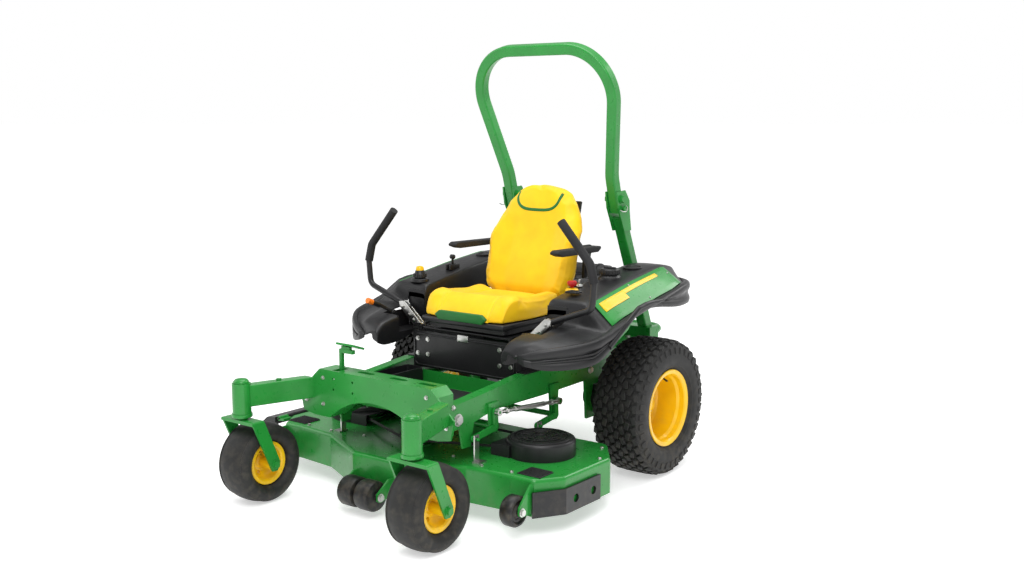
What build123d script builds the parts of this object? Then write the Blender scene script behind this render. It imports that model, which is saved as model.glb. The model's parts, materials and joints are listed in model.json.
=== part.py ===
from build123d import *
import math
import os

# A zero turn mower as separate pieces, in millimetres. The pieces are drawn in the machine's
# own frame: X+ to the operator's left, Y+ to the rear, Z up, with the origin on the ground
# under the middle of the rear axle. save() then moves each one so that the origin of the part
# is the bottom centre of the whole machine's box.

os.makedirs("parts", exist_ok=True)

# ---------------------------------------------------------------- driving dimensions
# running gear
wheelbase = 1324.0
rear_tyre_radius = 303.0
rear_tyre_width = 241.0
rear_wheel_x = 602.0
rear_rim_radius = 152.4
caster_x = 465.0
caster_trail = 83.0
caster_tyre_radius = 165.0
caster_tyre_width = 165.0
caster_rim_radius = 76.2
caster_stem_radius = 16.0
caster_axle_radius = 9.5
rear_axle_radius = 17.5
# chassis
rail_outer_x = 340.0
rail_width = 50.0
rail_wall = 6.0
crossmember_depth = 95.0
crossmember_top_z = 541.0
accessory_x, accessory_z = -170.0, 485.0
accessory_spacing_x, accessory_spacing_z = 110.0, 44.0
accessory_hole_radius = 5.5
floor_z = 392.0
plate = 6.0
# seat and controls
seat_half_width = 250.0
seat_hinge_y = -552.0
seat_hinge_z = 640.0
seat_pin_radius = 5.0
lever_y = -495.0
lever_drive_z = 590.0
lever_swing_x = 312.0
lever_swing_z = 632.0
lever_tube_radius = 14.0
lever_pin_radius = 10.0
grip_radius = 19.5
cap_x, cap_y = 430.0, -67.0
cap_neck_radius = 30.0
pto_x, pto_y = 378.0, -285.0
pto_stem_radius = 6.0
dial_x, dial_y = -420.0, -376.0
dial_stem_radius = 9.0
throttle_x, throttle_y = -400.0, -165.0
throttle_pin_radius = 3.0
brake_x, brake_y, brake_z = -432.0, -545.0, 684.0
brake_pin_radius = 6.0
pedal_x, pedal_y, pedal_z = -222.0, -1080.0, 492.0
pedal_pin_radius = 8.0
# roll bar
rops_tube = 50.0
rops_wall = 4.8
rops_pivot = (300.0, 174.0, 1195.0)
rops_lean = 16.4
rops_top_z = 1873.0
post_tube = 52.0
post_foot_y = 457.0
rops_lock_drop = 45.0
# deck
deck_half_width = 762.0
deck_top_z = 220.0
deck_skirt_z = 75.0
deck_wall = 5.0
side_spindle = (480.0, -665.0)
centre_spindle = (0.0, -860.0)
blade_radius = 255.0
spindle_radius = 15.0
pulley_radius = 78.0
cover_radius = 141.0
cover_height = 70.0
tunnel_height = 48.0
roller_y, roller_z, roller_radius = -1200.0, 88.0, 62.0
gauge_x, gauge_y, gauge_z, gauge_radius = 652.0, -1056.0, 113.0, 61.0
gauge_width = 56.0
hinge_z = 216.0
hinge_pin_radius = 5.0
# deck lift
lift_front = (-793.0, 331.0)
lift_rear = (-372.0, 295.0)
lift_arm = (-140.0, -19.0)
lift_upright = (-3.0, 64.0)
lift_shaft_radius = 12.0
lift_pin_radius = 6.0
# rear end
guard_y = 625.0
guard_radius = 19.0
hitch_hole_radius = 10.0
crank_y = 240.0
# fits
run = 0.05
gap = 0.4

# ---------------------------------------------------------------- sizes that follow
caster_stem_y = -wheelbase - caster_trail
front_plate_y = -1128.0
back_plate_y = front_plate_y + crossmember_depth
rail_inner_x = rail_outer_x - rail_width
rail_top_z = 501.0
machine_front_y = -wheelbase - caster_tyre_radius
machine_rear_y = guard_y + guard_radius
chute_reach = 138.0
hinge_x = -deck_half_width - 10
deck_half_outline = [
    (120, -1128),
    (380, -1003),
    (580, -985),
    (690, -985),
    (deck_half_width, -880),
    (deck_half_width, -560),
    (640, -395),
]
machine_left_x = deck_half_width + 13.0
machine_right_x = -deck_half_width - chute_reach
to_origin = Location(
    (-(machine_left_x + machine_right_x) / 2, -(machine_front_y + machine_rear_y) / 2, 0)
)
sides = (("left", 1), ("right", -1))


# ---------------------------------------------------------------- helpers
def save(piece, name):
    """Label a finished piece, move it to the part's origin and write its STEP file."""
    placed = piece.part.moved(to_origin)
    placed.label = name
    export_step(placed, f"parts/{name}.step")


def span(low, high, mode=Mode.ADD):
    """Add a block between two corners to the part being built."""
    centre = [(a + b) / 2 for a, b in zip(low, high)]
    with Locations(tuple(centre)):
        Box(*[abs(b - a) for a, b in zip(low, high)], mode=mode)


def rod(start, end, radius, mode=Mode.ADD):
    """Add a round bar between two points to the part being built."""
    line = Vector(*end) - Vector(*start)
    with BuildSketch(Plane(origin=start, z_dir=line)) as section:
        Circle(radius)
    extrude(section.sketch, amount=line.length, mode=mode)


def side_plate(outline, x_low, x_high, mode=Mode.ADD):
    """Add a plate with an outline of (y, z) points between two x values."""
    with BuildSketch(Plane.YZ.offset(x_low)) as section:
        with BuildLine():
            Polyline(*outline, close=True)
        make_face()
    extrude(section.sketch, amount=x_high - x_low, mode=mode)


def pipe(points, bends, radius):
    """Add a round bar along straight runs joined by arcs."""
    with BuildLine() as route:
        FilletPolyline(*points, radius=bends)
    with BuildSketch(Plane(origin=route.line @ 0, z_dir=route.line % 0)) as section:
        Circle(radius)
    sweep(section.sketch, path=route.line)


def hexagon_bolt(point, axis, radius, head):
    """Add a bolt head with its washer, standing on a point along an axis."""
    with BuildSketch(Plane(origin=point, z_dir=axis)) as washer:
        Circle(radius * 2.1)
    extrude(washer.sketch, amount=head * 0.25)
    with BuildSketch(Plane(origin=Vector(*point) + Vector(*axis) * head * 0.25, z_dir=axis)) as hexagon:
        RegularPolygon(radius * 1.65, 6)
    extrude(hexagon.sketch, amount=head * 0.75)


# ---------------------------------------------------------------- casters
def caster(name, sign):
    """Make one caster: its fork with stem and axle bolt, its rim and its tyre."""
    x = sign * caster_x
    axle_y = -wheelbase
    axle_z = caster_tyre_radius
    leg_in = caster_tyre_width / 2 + 6
    leg_out = leg_in + 9
    crown_low = 2 * caster_tyre_radius + 17
    crown_top = crown_low + 14
    with BuildPart() as fork:
        span((x - leg_out, caster_stem_y - 30, crown_low), (x + leg_out, caster_stem_y + 30, crown_top))
        for low, high in ((x - leg_out, x - leg_in), (x + leg_in, x + leg_out)):
            side_plate(
                [
                    (caster_stem_y - 30, crown_top),
                    (caster_stem_y + 30, crown_top),
                    (axle_y + 27, axle_z + 8),
                    (axle_y + 12, axle_z - 26),
                    (axle_y - 14, axle_z - 26),
                    (axle_y - 28, axle_z + 4),
                ],
                low,
                high,
            )
        corners = fork.edges().filter_by(Axis.Y).group_by(Axis.Z)[-1]
        fillet(corners, 8)
        rod((x, caster_stem_y, crown_top - 2), (x, caster_stem_y, 505), caster_stem_radius)
        rod((x, caster_stem_y, crown_top - 2), (x, caster_stem_y, 369), caster_stem_radius + 8)
        rod(
            (x - leg_out - 1, axle_y, axle_z),
            (x + leg_out + 1, axle_y, axle_z),
            caster_axle_radius + run,
            Mode.SUBTRACT,
        )
    with BuildPart() as bolt:
        rod((x - leg_out - 1, axle_y, axle_z), (x + leg_out + 1, axle_y, axle_z), caster_axle_radius)
        hexagon_bolt((x - leg_out - gap, axle_y, axle_z), (-1, 0, 0), caster_axle_radius, 12)
        hexagon_bolt((x + leg_out + gap, axle_y, axle_z), (1, 0, 0), caster_axle_radius, 12)
    with BuildPart() as fork_group:
        add(fork.part)
        add(bolt.part)
    save(fork_group, f"caster_fork_{name}")

    hub_half = leg_in - 4
    wheel_plane = Plane(origin=(x, axle_y, axle_z), x_dir=(1, 0, 0), z_dir=(0, -1, 0))
    bead = caster_rim_radius
    with BuildPart() as rim:
        with BuildSketch(wheel_plane):
            with BuildLine():
                Polyline(
                    (-hub_half, caster_axle_radius + run),
                    (hub_half, caster_axle_radius + run),
                    (hub_half, 22),
                    (14, 24),
                    (10, bead - 12),
                    (54, bead - 7),
                    (56, bead + 12),
                    (52, bead + 12),
                    (50, bead),
                    (-50, bead),
                    (-52, bead + 12),
                    (-56, bead + 12),
                    (-54, bead - 7),
                    (-10, bead - 12),
                    (-14, 24),
                    (-hub_half, 22),
                    close=True,
                )
            make_face()
        revolve(axis=Axis((x, axle_y, axle_z), (1, 0, 0)))
        with BuildSketch(Plane(origin=(x - 20, axle_y, axle_z), x_dir=(0, 1, 0), z_dir=(1, 0, 0))):
            with PolarLocations((bead + 24) / 2, 5):
                Circle(9)
        extrude(amount=40, mode=Mode.SUBTRACT)
    save(rim, f"caster_rim_{name}")

    half = caster_tyre_width / 2
    outer = caster_tyre_radius
    with BuildPart() as tyre:
        with BuildSketch(wheel_plane):
            with BuildLine():
                Polyline(
                    (-50, bead + gap),
                    (-50, bead + 14),
                    (-60, bead + 17),
                    (-half, outer - 50),
                    (-half + 2, outer - 28),
                    (-half + 18, outer - 8),
                    (-40, outer - 1),
                    (0, outer),
                    (40, outer - 1),
                    (half - 18, outer - 8),
                    (half - 2, outer - 28),
                    (half, outer - 50),
                    (60, bead + 17),
                    (50, bead + 14),
                    (50, bead + gap),
                    (36, bead + gap),
                    (44, bead + 22),
                    (half - 12, outer - 48),
                    (half - 18, outer - 26),
                    (40, outer - 15),
                    (-40, outer - 15),
                    (-half + 18, outer - 26),
                    (-half + 12, outer - 48),
                    (-44, bead + 22),
                    (-36, bead + gap),
                    close=True,
                )
            make_face()
        revolve(axis=Axis((x, axle_y, axle_z), (1, 0, 0)))
    save(tyre, f"caster_tyre_{name}")


# ---------------------------------------------------------------- rear wheels
def rear_wheel(name, sign):
    """Make one drive wheel: its dished rim with hub, shaft and nuts, and its tyre."""
    z = rear_tyre_radius
    hub_plane = Plane(origin=(sign * rear_wheel_x, 0, z), x_dir=(sign, 0, 0), z_dir=(0, -sign, 0))
    spin_axis = Axis((sign * rear_wheel_x, 0, z), (1, 0, 0))
    bead = rear_rim_radius
    with BuildPart() as rim:
        with BuildSketch(hub_plane):
            with BuildLine():
                Polyline(
                    (-30, 40),
                    (-36, bead - 34),
                    (-60, bead - 12),
                    (-100, bead - 5),
                    (-103, bead + 14),
                    (-98, bead + 14),
                    (-96, bead),
                    (-70, bead),
                    (-48, bead - 8),
                    (60, bead - 8),
                    (78, bead),
                    (96, bead),
                    (98, bead + 18),
                    (103, bead + 18),
                    (100, bead - 4),
                    (66, bead - 5),
                    (56, bead - 13),
                    (-46, bead - 13),
                    (-28, bead - 36),
                    (-22, 40),
                    close=True,
                )
            make_face()
        revolve(axis=spin_axis)
        rod((sign * (rear_wheel_x - 35), 0, z), (sign * (rear_wheel_x + 11), 0, z), 44)
        rod((sign * (rear_wheel_x - 222), 0, z), (sign * (rear_wheel_x + 18), 0, z), rear_axle_radius)
        hub_face = Plane(origin=(sign * (rear_wheel_x - 34), 0, z), x_dir=(0, 1, 0), z_dir=(sign, 0, 0))
        with BuildSketch(hub_face):
            with PolarLocations(82, 4, start_angle=45):
                Circle(14)
        extrude(amount=14, both=True, mode=Mode.SUBTRACT)
    with BuildPart() as nuts:
        nut_face = Plane(
            origin=(sign * (rear_wheel_x + 11 + gap), 0, z), x_dir=(0, 1, 0), z_dir=(sign, 0, 0)
        )
        with BuildSketch(nut_face):
            with PolarLocations(32, 5):
                RegularPolygon(9.5, 6)
        extrude(amount=12)
    with BuildPart() as rim_group:
        add(rim.part)
        add(nuts.part)
    save(rim_group, f"rear_rim_{name}")

    half = rear_tyre_width / 2
    outer = rear_tyre_radius
    belly = 0.54 * (outer - bead)
    shoulder = 0.29 * (outer - bead)
    tread = 0.16 * (outer - bead)
    with BuildPart() as tyre:
        with BuildSketch(hub_plane):
            with BuildLine():
                Polyline(
                    (-96, bead + gap),
                    (-96, bead + 0.14 * (outer - bead)),
                    (-108, bead + 0.21 * (outer - bead)),
                    (-half, outer - belly),
                    (-half + 1, outer - shoulder),
                    (-half + 10, outer - 14),
                    (-half + 36, outer - 3),
                    (0, outer),
                    (half - 36, outer - 3),
                    (half - 10, outer - 14),
                    (half - 1, outer - shoulder),
                    (half, outer - belly),
                    (108, bead + 0.21 * (outer - bead)),
                    (96, bead + 0.14 * (outer - bead)),
                    (96, bead + gap),
                    (80, bead + gap),
                    (88, bead + 0.23 * (outer - bead)),
                    (half - 14, outer - belly),
                    (half - 16, outer - shoulder),
                    (half - 40, outer - tread),
                    (-half + 40, outer - tread),
                    (-half + 16, outer - shoulder),
                    (-half + 14, outer - belly),
                    (-88, bead + 0.23 * (outer - bead)),
                    (-80, bead + gap),
                    close=True,
                )
            make_face()
        revolve(axis=spin_axis)
    save(tyre, f"rear_tyre_{name}")


# ---------------------------------------------------------------- chassis
def crossmember():
    """Make the arched front beam, open at the back, with its wings and its slots."""
    top = crossmember_top_z
    foot_z = 342.0
    arch_half = 250.0
    arch_top = 437.0
    skin = 8.0
    with BuildPart() as beam:
        with BuildSketch(Plane.XZ.offset(-front_plate_y)) as front:
            with BuildLine():
                Polyline(
                    (-arch_half, foot_z),
                    (-rail_outer_x, foot_z),
                    (-rail_outer_x, top - 30),
                    (-306, top),
                    (306, top),
                    (rail_outer_x, top - 30),
                    (rail_outer_x, foot_z),
                    (arch_half, foot_z),
                )
                ThreePointArc((arch_half, foot_z), (0, arch_top), (-arch_half, foot_z))
            make_face()
        extrude(amount=-crossmember_depth)
        with BuildSketch(Plane.XZ.offset(-front_plate_y - skin)):
            add(front.sketch)
            offset(amount=-skin, kind=Kind.INTERSECTION, mode=Mode.REPLACE)
        extrude(amount=-crossmember_depth, mode=Mode.SUBTRACT)
        for sign in (1, -1):
            with BuildSketch(Plane.XZ.offset(-front_plate_y)):
                with BuildLine():
                    Polyline(
                        (sign * (rail_outer_x - 1), foot_z),
                        (sign * (rail_outer_x + 65), foot_z + 12),
                        (sign * (rail_outer_x + 84), foot_z + 90),
                        (sign * (rail_outer_x - 1), top - 30),
                        close=True,
                    )
                make_face()
            extrude(amount=-skin)
        # slots in the top plate, the pedal's opening and the accessory holes
        top_plane = Plane.XY.offset(top - skin - 1)
        with BuildSketch(top_plane):
            hole_y = front_plate_y + 55
            with Locations((-90, hole_y), (90, hole_y), (245, hole_y)):
                SlotOverall(90, 26)
            with Locations((pedal_x, pedal_y - 9)):
                Rectangle(34, 64)
        extrude(amount=skin + 2, mode=Mode.SUBTRACT)
        with BuildSketch(Plane.XZ.offset(-front_plate_y + 1)):
            with Locations((accessory_x, accessory_z)):
                with GridLocations(accessory_spacing_x, accessory_spacing_z, 2, 2):
                    Circle(accessory_hole_radius)
        extrude(amount=-skin - 2, mode=Mode.SUBTRACT)
        # lugs that carry the deck pedal's pin, hung from the top plate
        for low in (pedal_x - 26, pedal_x + 18):
            side_plate(
                [
                    (pedal_y - 16, pedal_z - 16),
                    (pedal_y + 16, pedal_z - 16),
                    (pedal_y + 22, top - 4),
                    (pedal_y - 22, top - 4),
                ],
                low,
                low + 8,
            )
        rod(
            (pedal_x - 30, pedal_y, pedal_z),
            (pedal_x + 30, pedal_y, pedal_z),
            pedal_pin_radius + run,
            Mode.SUBTRACT,
        )
    save(beam, "front_crossmember")


def caster_arm(name, sign):
    """Make one caster arm: the bored housing and the box arm back to the crossmember."""
    x = sign * caster_x
    low_z, high_z = 410.0, 500.0
    half = 26.0
    root_x = sign * 372.0
    line = Vector(root_x - x, front_plate_y - caster_stem_y, 0)
    across = Vector(line.Y, -line.X, 0).normalized() * half
    reach = line.normalized()
    start = Vector(x, caster_stem_y, 0)
    end = Vector(root_x, front_plate_y, 0)
    slide = -across.Y / reach.Y
    with BuildPart() as arm:
        with BuildSketch(Plane.XY.offset(low_z)):
            with BuildLine():
                Polyline(
                    tuple(start + across)[:2],
                    tuple(end + across + reach * slide)[:2],
                    tuple(end - across - reach * slide)[:2],
                    tuple(start - across)[:2],
                    close=True,
                )
            make_face()
        extrude(amount=high_z - low_z)
        fillet(arm.edges().filter_by(Plane.XY).filter_by(GeomType.LINE).sort_by(SortBy.LENGTH)[-4:], 6)
        rod((x, caster_stem_y, 370), (x, caster_stem_y, 509), 38)
        rod((x, caster_stem_y, 369), (x, caster_stem_y, 515), caster_stem_radius + run, Mode.SUBTRACT)
        middle = start + line * 0.55
        with BuildSketch(Plane.XY.offset(high_z)):
            with Locations((middle.X, middle.Y)):
                Circle(11)
        extrude(amount=7)
    save(arm, f"caster_arm_{name}")


def side_rails():
    """Make the two channel rails with the hangers for the lift shafts and the drive plates."""
    outline = [
        (back_plate_y, 360),
        (back_plate_y, 459),
        (-577, rail_top_z),
        (430, rail_top_z),
        (430, 405),
        (-448, 392),
        (-779, 396),
        (-900, 372),
    ]
    with BuildPart() as rails:
        for sign in (1, -1):
            outer = sign * rail_outer_x
            inner = sign * rail_inner_x
            side_plate(outline, min(outer, inner), max(outer, inner))
            with BuildSketch(Plane.YZ.offset(inner)):
                with BuildLine():
                    Polyline(*outline, close=True)
                make_face()
                offset(amount=-rail_wall, kind=Kind.INTERSECTION, mode=Mode.REPLACE)
            extrude(amount=sign * (rail_width - rail_wall), mode=Mode.SUBTRACT)
            for pivot in (lift_front, lift_rear):
                side_plate(
                    [
                        (pivot[0] - 34, 430),
                        (pivot[0] + 34, 430),
                        (pivot[0] + 22, pivot[1] - 24),
                        (pivot[0] - 22, pivot[1] - 24),
                    ],
                    *sorted((outer, sign * (rail_outer_x + 10))),
                )
                rod(
                    (sign * (rail_outer_x - 2), *pivot),
                    (sign * (rail_outer_x + 12), *pivot),
                    lift_shaft_radius + run,
                    Mode.SUBTRACT,
                )
            # the drive plate under the rail
            side_plate(
                [(-120, 398), (120, 404), (105, rear_tyre_radius - 85), (-105, rear_tyre_radius - 85)],
                *sorted((outer, sign * (rail_outer_x - 12))),
            )
            rod(
                (sign * (rail_outer_x - 14), 0, rear_tyre_radius),
                (sign * (rail_outer_x + 2), 0, rear_tyre_radius),
                50 + gap,
                Mode.SUBTRACT,
            )
            # the front hanger plate
            side_plate(
                [(-1000, 380), (-905, 380), (-927, 278), (-978, 278)],
                *sorted((outer, sign * (rail_outer_x - 8))),
            )
    save(rails, "side_rails")


def floor_pan():
    """Make the footwell: its floor, its front riser and the bulkhead under the seat."""
    half = rail_inner_x - 1
    with BuildPart() as pan:
        span((-half, back_plate_y, floor_z), (half, -600, floor_z + plate))
        span((-half, back_plate_y, floor_z), (half, back_plate_y + plate, crossmember_top_z - 9))
        span((-half, -606, floor_z), (half, -600, 461))
        with BuildSketch(Plane.XY.offset(floor_z + plate)):
            with Locations((60, -815)):
                with GridLocations(90, 70, 4, 5):
                    SlotOverall(46, 9)
        extrude(amount=3)
    save(pan, "floor_pan")


def tool_tray():
    """Make the open tray beside the operator's right foot."""
    low = (-rail_inner_x + 3, -1018, floor_z + plate + 0.5)
    high = (-188, -612, 475)
    with BuildPart() as tray:
        span(low, high)
        fillet(tray.edges().filter_by(Axis.Z), 14)
        top = tray.faces().sort_by(Axis.Z)[-1]
        offset(amount=-4, openings=top)
    save(tray, "tool_tray")


def rear_frame():
    """Make the rear weldment: engine plate, cross beam, back plate, guard loop and hitch."""
    beam_front = post_foot_y - 32
    beam_back = post_foot_y + 48
    with BuildPart() as frame:
        span((-rail_outer_x, -48, rail_top_z), (rail_outer_x, beam_front + 1, rail_top_z + 8))
        span((-rail_outer_x - 8, beam_front, rail_top_z), (rail_outer_x + 8, beam_back, 560))
        span((-rail_outer_x - 8, 431, 320), (rail_outer_x + 8, 441, rail_top_z + 1))
        span((-60, 440, 330), (60, 530, 340))
        for x in (-54, 48):
            side_plate([(440, 340), (500, 340), (440, 400)], x, x + 6)
        with Locations((0, 495, 335)):
            Hole(hitch_hole_radius, 30)
        with BuildSketch(Plane.XY.offset(rail_top_z - 1)):
            with Locations((0, crank_y)):
                Circle(60)
        extrude(amount=10, mode=Mode.SUBTRACT)
        pipe(
            [
                (310, beam_back - 2, 530),
                (310, guard_y, 530),
                (-310, guard_y, 530),
                (-310, beam_back - 2, 530),
            ],
            90,
            guard_radius,
        )
        pipe(
            [(250, 440, 400), (250, guard_y, 400), (-250, guard_y, 400), (-250, 440, 400)],
            90,
            guard_radius,
        )
        for x in (-150, 150):
            span((x - 20, guard_y - 6, 400), (x + 20, guard_y + 6, 530))
    save(frame, "rear_frame")


def seat_base():
    """Make the box under the seat with the pins that the drive levers turn on."""
    half = rail_inner_x - 1
    back_y = -60.0
    front_y = -568.0
    with BuildPart() as base:
        span((-half, front_y, 462), (half, front_y + plate, 625))
        for sign in (1, -1):
            span((sign * (half - plate), front_y, rail_top_z), (sign * half, back_y, seat_hinge_z - 4))
            span(
                (sign * (half - plate), front_y + 10, rail_top_z),
                (sign * (rail_outer_x - 5), back_y, 506),
            )
            rod(
                (sign * (half - 2), lever_y, lever_drive_z),
                (sign * 340, lever_y, lever_drive_z),
                lever_pin_radius,
            )
        span((-half, back_y - plate, rail_top_z), (half, back_y, seat_hinge_z - 4))
        span((-half, front_y, 600), (half, front_y + 30, 606))
        for low in (-254, 246):
            span((low, front_y + plate - 1, 600), (low + 8, seat_hinge_y + 9, seat_hinge_z + 8))
            rod(
                (low - 1, seat_hinge_y, seat_hinge_z),
                (low + 9, seat_hinge_y, seat_hinge_z),
                seat_pin_radius + run,
                Mode.SUBTRACT,
            )
    save(base, "seat_base")


def pod(name, sign):
    """Make one side pod: a shell open underneath, with the notch that its levers move in."""
    inner_x, outer_x = 345.0, 690.0
    side_outline = [
        (-745, 556),
        (-735, 640),
        (-700, 678),
        (-560, 700),
        (-432, 716),
        (-420, 806),
        (-60, 868),
        (200, 903),
        (380, 884),
        (388, 740),
        (100, 733),
        (-120, 772),
        (-236, 758),
        (-449, 625),
        (-560, 570),
    ]
    plan_outline = [
        (sign * inner_x, -690),
        (sign * 430, -742),
        (sign * 560, -690),
        (sign * outer_x, -552),
        (sign * outer_x, 110),
        (sign * 640, 290),
        (sign * 500, 385),
        (sign * inner_x, 385),
    ]
    skin = 6.0
    notch_out = 446.0
    notch = ((sign * (inner_x - 10), -600, 612), (sign * notch_out, -421, 900))
    with BuildPart() as cavity:
        with BuildSketch(Plane.YZ.offset(sign * (inner_x + skin))) as inside:
            with BuildLine():
                Polyline(*side_outline, close=True)
            make_face()
            offset(amount=-skin, kind=Kind.INTERSECTION, mode=Mode.REPLACE)
        extrude(amount=sign * (outer_x - inner_x - 2 * skin))
        for drop in (9, 18, 27):
            with BuildSketch(Plane.YZ.offset(sign * (inner_x + skin))):
                with Locations((0, -drop)):
                    add(inside.sketch.moved(Location((0, 0, 0))))
            extrude(amount=sign * (outer_x - inner_x - 2 * skin))
        with BuildSketch(Plane.XY.offset(400)):
            with BuildLine():
                Polyline(*plan_outline, close=True)
            make_face()
            offset(amount=-skin, kind=Kind.INTERSECTION, mode=Mode.REPLACE)
        extrude(amount=600, mode=Mode.INTERSECT)
        low, high = notch
        span(
            (low[0], low[1] - skin, low[2] - skin),
            (high[0] + sign * skin, high[1] + skin, high[2]),
            Mode.SUBTRACT,
        )
    with BuildPart() as shell:
        side_plate(side_outline, *sorted((sign * inner_x, sign * outer_x)))
        with BuildSketch(Plane.XY.offset(400)):
            with BuildLine():
                Polyline(*plan_outline, close=True)
            make_face()
        extrude(amount=600, mode=Mode.INTERSECT)
        add(cavity.part, mode=Mode.SUBTRACT)
        span(*notch, Mode.SUBTRACT)
        if sign > 0:
            rod((cap_x, cap_y, 855), (cap_x, cap_y, 897), cap_neck_radius)
            rod((cap_x, cap_y, 840), (cap_x, cap_y, 898), cap_neck_radius - 5, Mode.SUBTRACT)
            rod((pto_x, pto_y, 826), (pto_x, pto_y, 846), 24)
            rod((pto_x, pto_y, 800), (pto_x, pto_y, 850), pto_stem_radius + run, Mode.SUBTRACT)
        else:
            rod((dial_x, dial_y, 806), (dial_x, dial_y, 826), 34)
            rod((dial_x, dial_y, 790), (dial_x, dial_y, 830), dial_stem_radius + run, Mode.SUBTRACT)
            span((throttle_x - 16, throttle_y - 34, 845), (throttle_x + 16, throttle_y + 34, 874))
            span(
                (throttle_x - 4, throttle_y - 26, 842),
                (throttle_x + 4, throttle_y + 26, 880),
                Mode.SUBTRACT,
            )
            rod(
                (throttle_x - 12, throttle_y, 862),
                (throttle_x + 12, throttle_y, 862),
                throttle_pin_radius + run,
                Mode.SUBTRACT,
            )
            rod(
                (-notch_out + 2, brake_y, brake_z),
                (-notch_out - skin - 2, brake_y, brake_z),
                brake_pin_radius + run,
                Mode.SUBTRACT,
            )
    save(shell, f"pod_{name}")


# ---------------------------------------------------------------- engine and drives
def engine():
    """Make the V-twin's block, its fan housing, its muffler and the crank pulley."""
    base_z = rail_top_z + 8
    block_top = base_z + 208
    with BuildPart() as block:
        span((-140, crank_y - 125, base_z), (140, crank_y + 125, block_top))
        fillet(block.edges().filter_by(Axis.Z), 24)
        for sign in (1, -1):
            head = Plane(origin=(sign * 120, crank_y, 610), x_dir=(0, 1, 0), z_dir=(sign, 0, 0.35))
            with BuildSketch(head):
                RectangleRounded(130, 120, 16)
            extrude(amount=110)
            for step in range(4):
                with BuildSketch(head.offset(34 + 18 * step)):
                    RectangleRounded(170, 150, 16)
                extrude(amount=7)
        rod((0, crank_y, base_z - 1), (0, crank_y, base_z + 60), 14 + run, Mode.SUBTRACT)
    save(block, "engine_block")
    with BuildPart() as blower:
        rod((0, crank_y, block_top + gap), (0, crank_y, block_top + 84), 172)
        fillet(blower.edges().group_by(Axis.Z)[-1], 26)
        with BuildSketch(Plane.XY.offset(block_top + 84)):
            with Locations((0, crank_y)):
                with PolarLocations(90, 12):
                    SlotOverall(66, 12)
        extrude(amount=-14, mode=Mode.SUBTRACT)
        rod((0, crank_y, block_top + 83), (0, crank_y, block_top + 100), 34)
    save(blower, "blower_housing")
    with BuildPart() as muffler:
        rod((-170, 478, 640), (170, 478, 640), 60)
        fillet(muffler.edges().filter_by(GeomType.CIRCLE), 14)
        rod((90, crank_y + 125 + gap, 640), (90, 470, 640), 18)
        rod((-90, crank_y + 125 + gap, 640), (-90, 470, 640), 18)
        rod((120, 500, 600), (120, 585, 560), 19)
        rod((120, 505, 597.65), (120, 590, 557.65), 16, Mode.SUBTRACT)
    save(muffler, "muffler")
    with BuildPart() as pulley:
        rod((0, crank_y, 400), (0, crank_y, base_z + 50), 14)
        rod((0, crank_y, 446), (0, crank_y, 478), 70)
        rod((0, crank_y, 400), (0, crank_y, 440), 62)
        for z in (452, 464):
            with BuildSketch(Plane.XY.offset(z)):
                with Locations((0, crank_y)):
                    Circle(80)
                    Circle(60, mode=Mode.SUBTRACT)
            extrude(amount=8, mode=Mode.SUBTRACT)
    save(pulley, "crank_pulley")


def drives():
    """Make the wheel motors outside the rails and the two pumps under the engine plate."""
    z = rear_tyre_radius
    with BuildPart() as motors:
        for sign in (1, -1):
            face = rail_outer_x + 0.2
            rod((sign * face, 0, z), (sign * 430, 0, z), 72)
            rod((sign * 425, 0, z), (sign * 470, 0, z), 40)
            rod((sign * (face - 60), 0, z), (sign * (face + 2), 0, z), 50)
            span((sign * face, -58, z - 60), (sign * 366, 58, z + 66))
            rod((sign * 376, 0, z), (sign * 471, 0, z), rear_axle_radius + run, Mode.SUBTRACT)
            for angle in range(0, 360, 60):
                y = 56 * math.cos(math.radians(angle))
                up = 56 * math.sin(math.radians(angle))
                rod((sign * 428, y, z + up), (sign * 438, y, z + up), 8)
    save(motors, "wheel_motors")
    with BuildPart() as pumps:
        for x in (-150, 150):
            span((x - 62, 0, 402), (x + 62, 120, rail_top_z - 0.2))
            rod((x, 60, 402), (x, 60, 372), 34)
            rod((x, 60, 372), (x, 60, 350), 58)
            rod((x - 62, 30, 450), (x - 84, 30, 450), 14)
            rod((x + 62, 90, 450), (x + 84, 90, 450), 14)
    save(pumps, "hydro_pumps")


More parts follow.
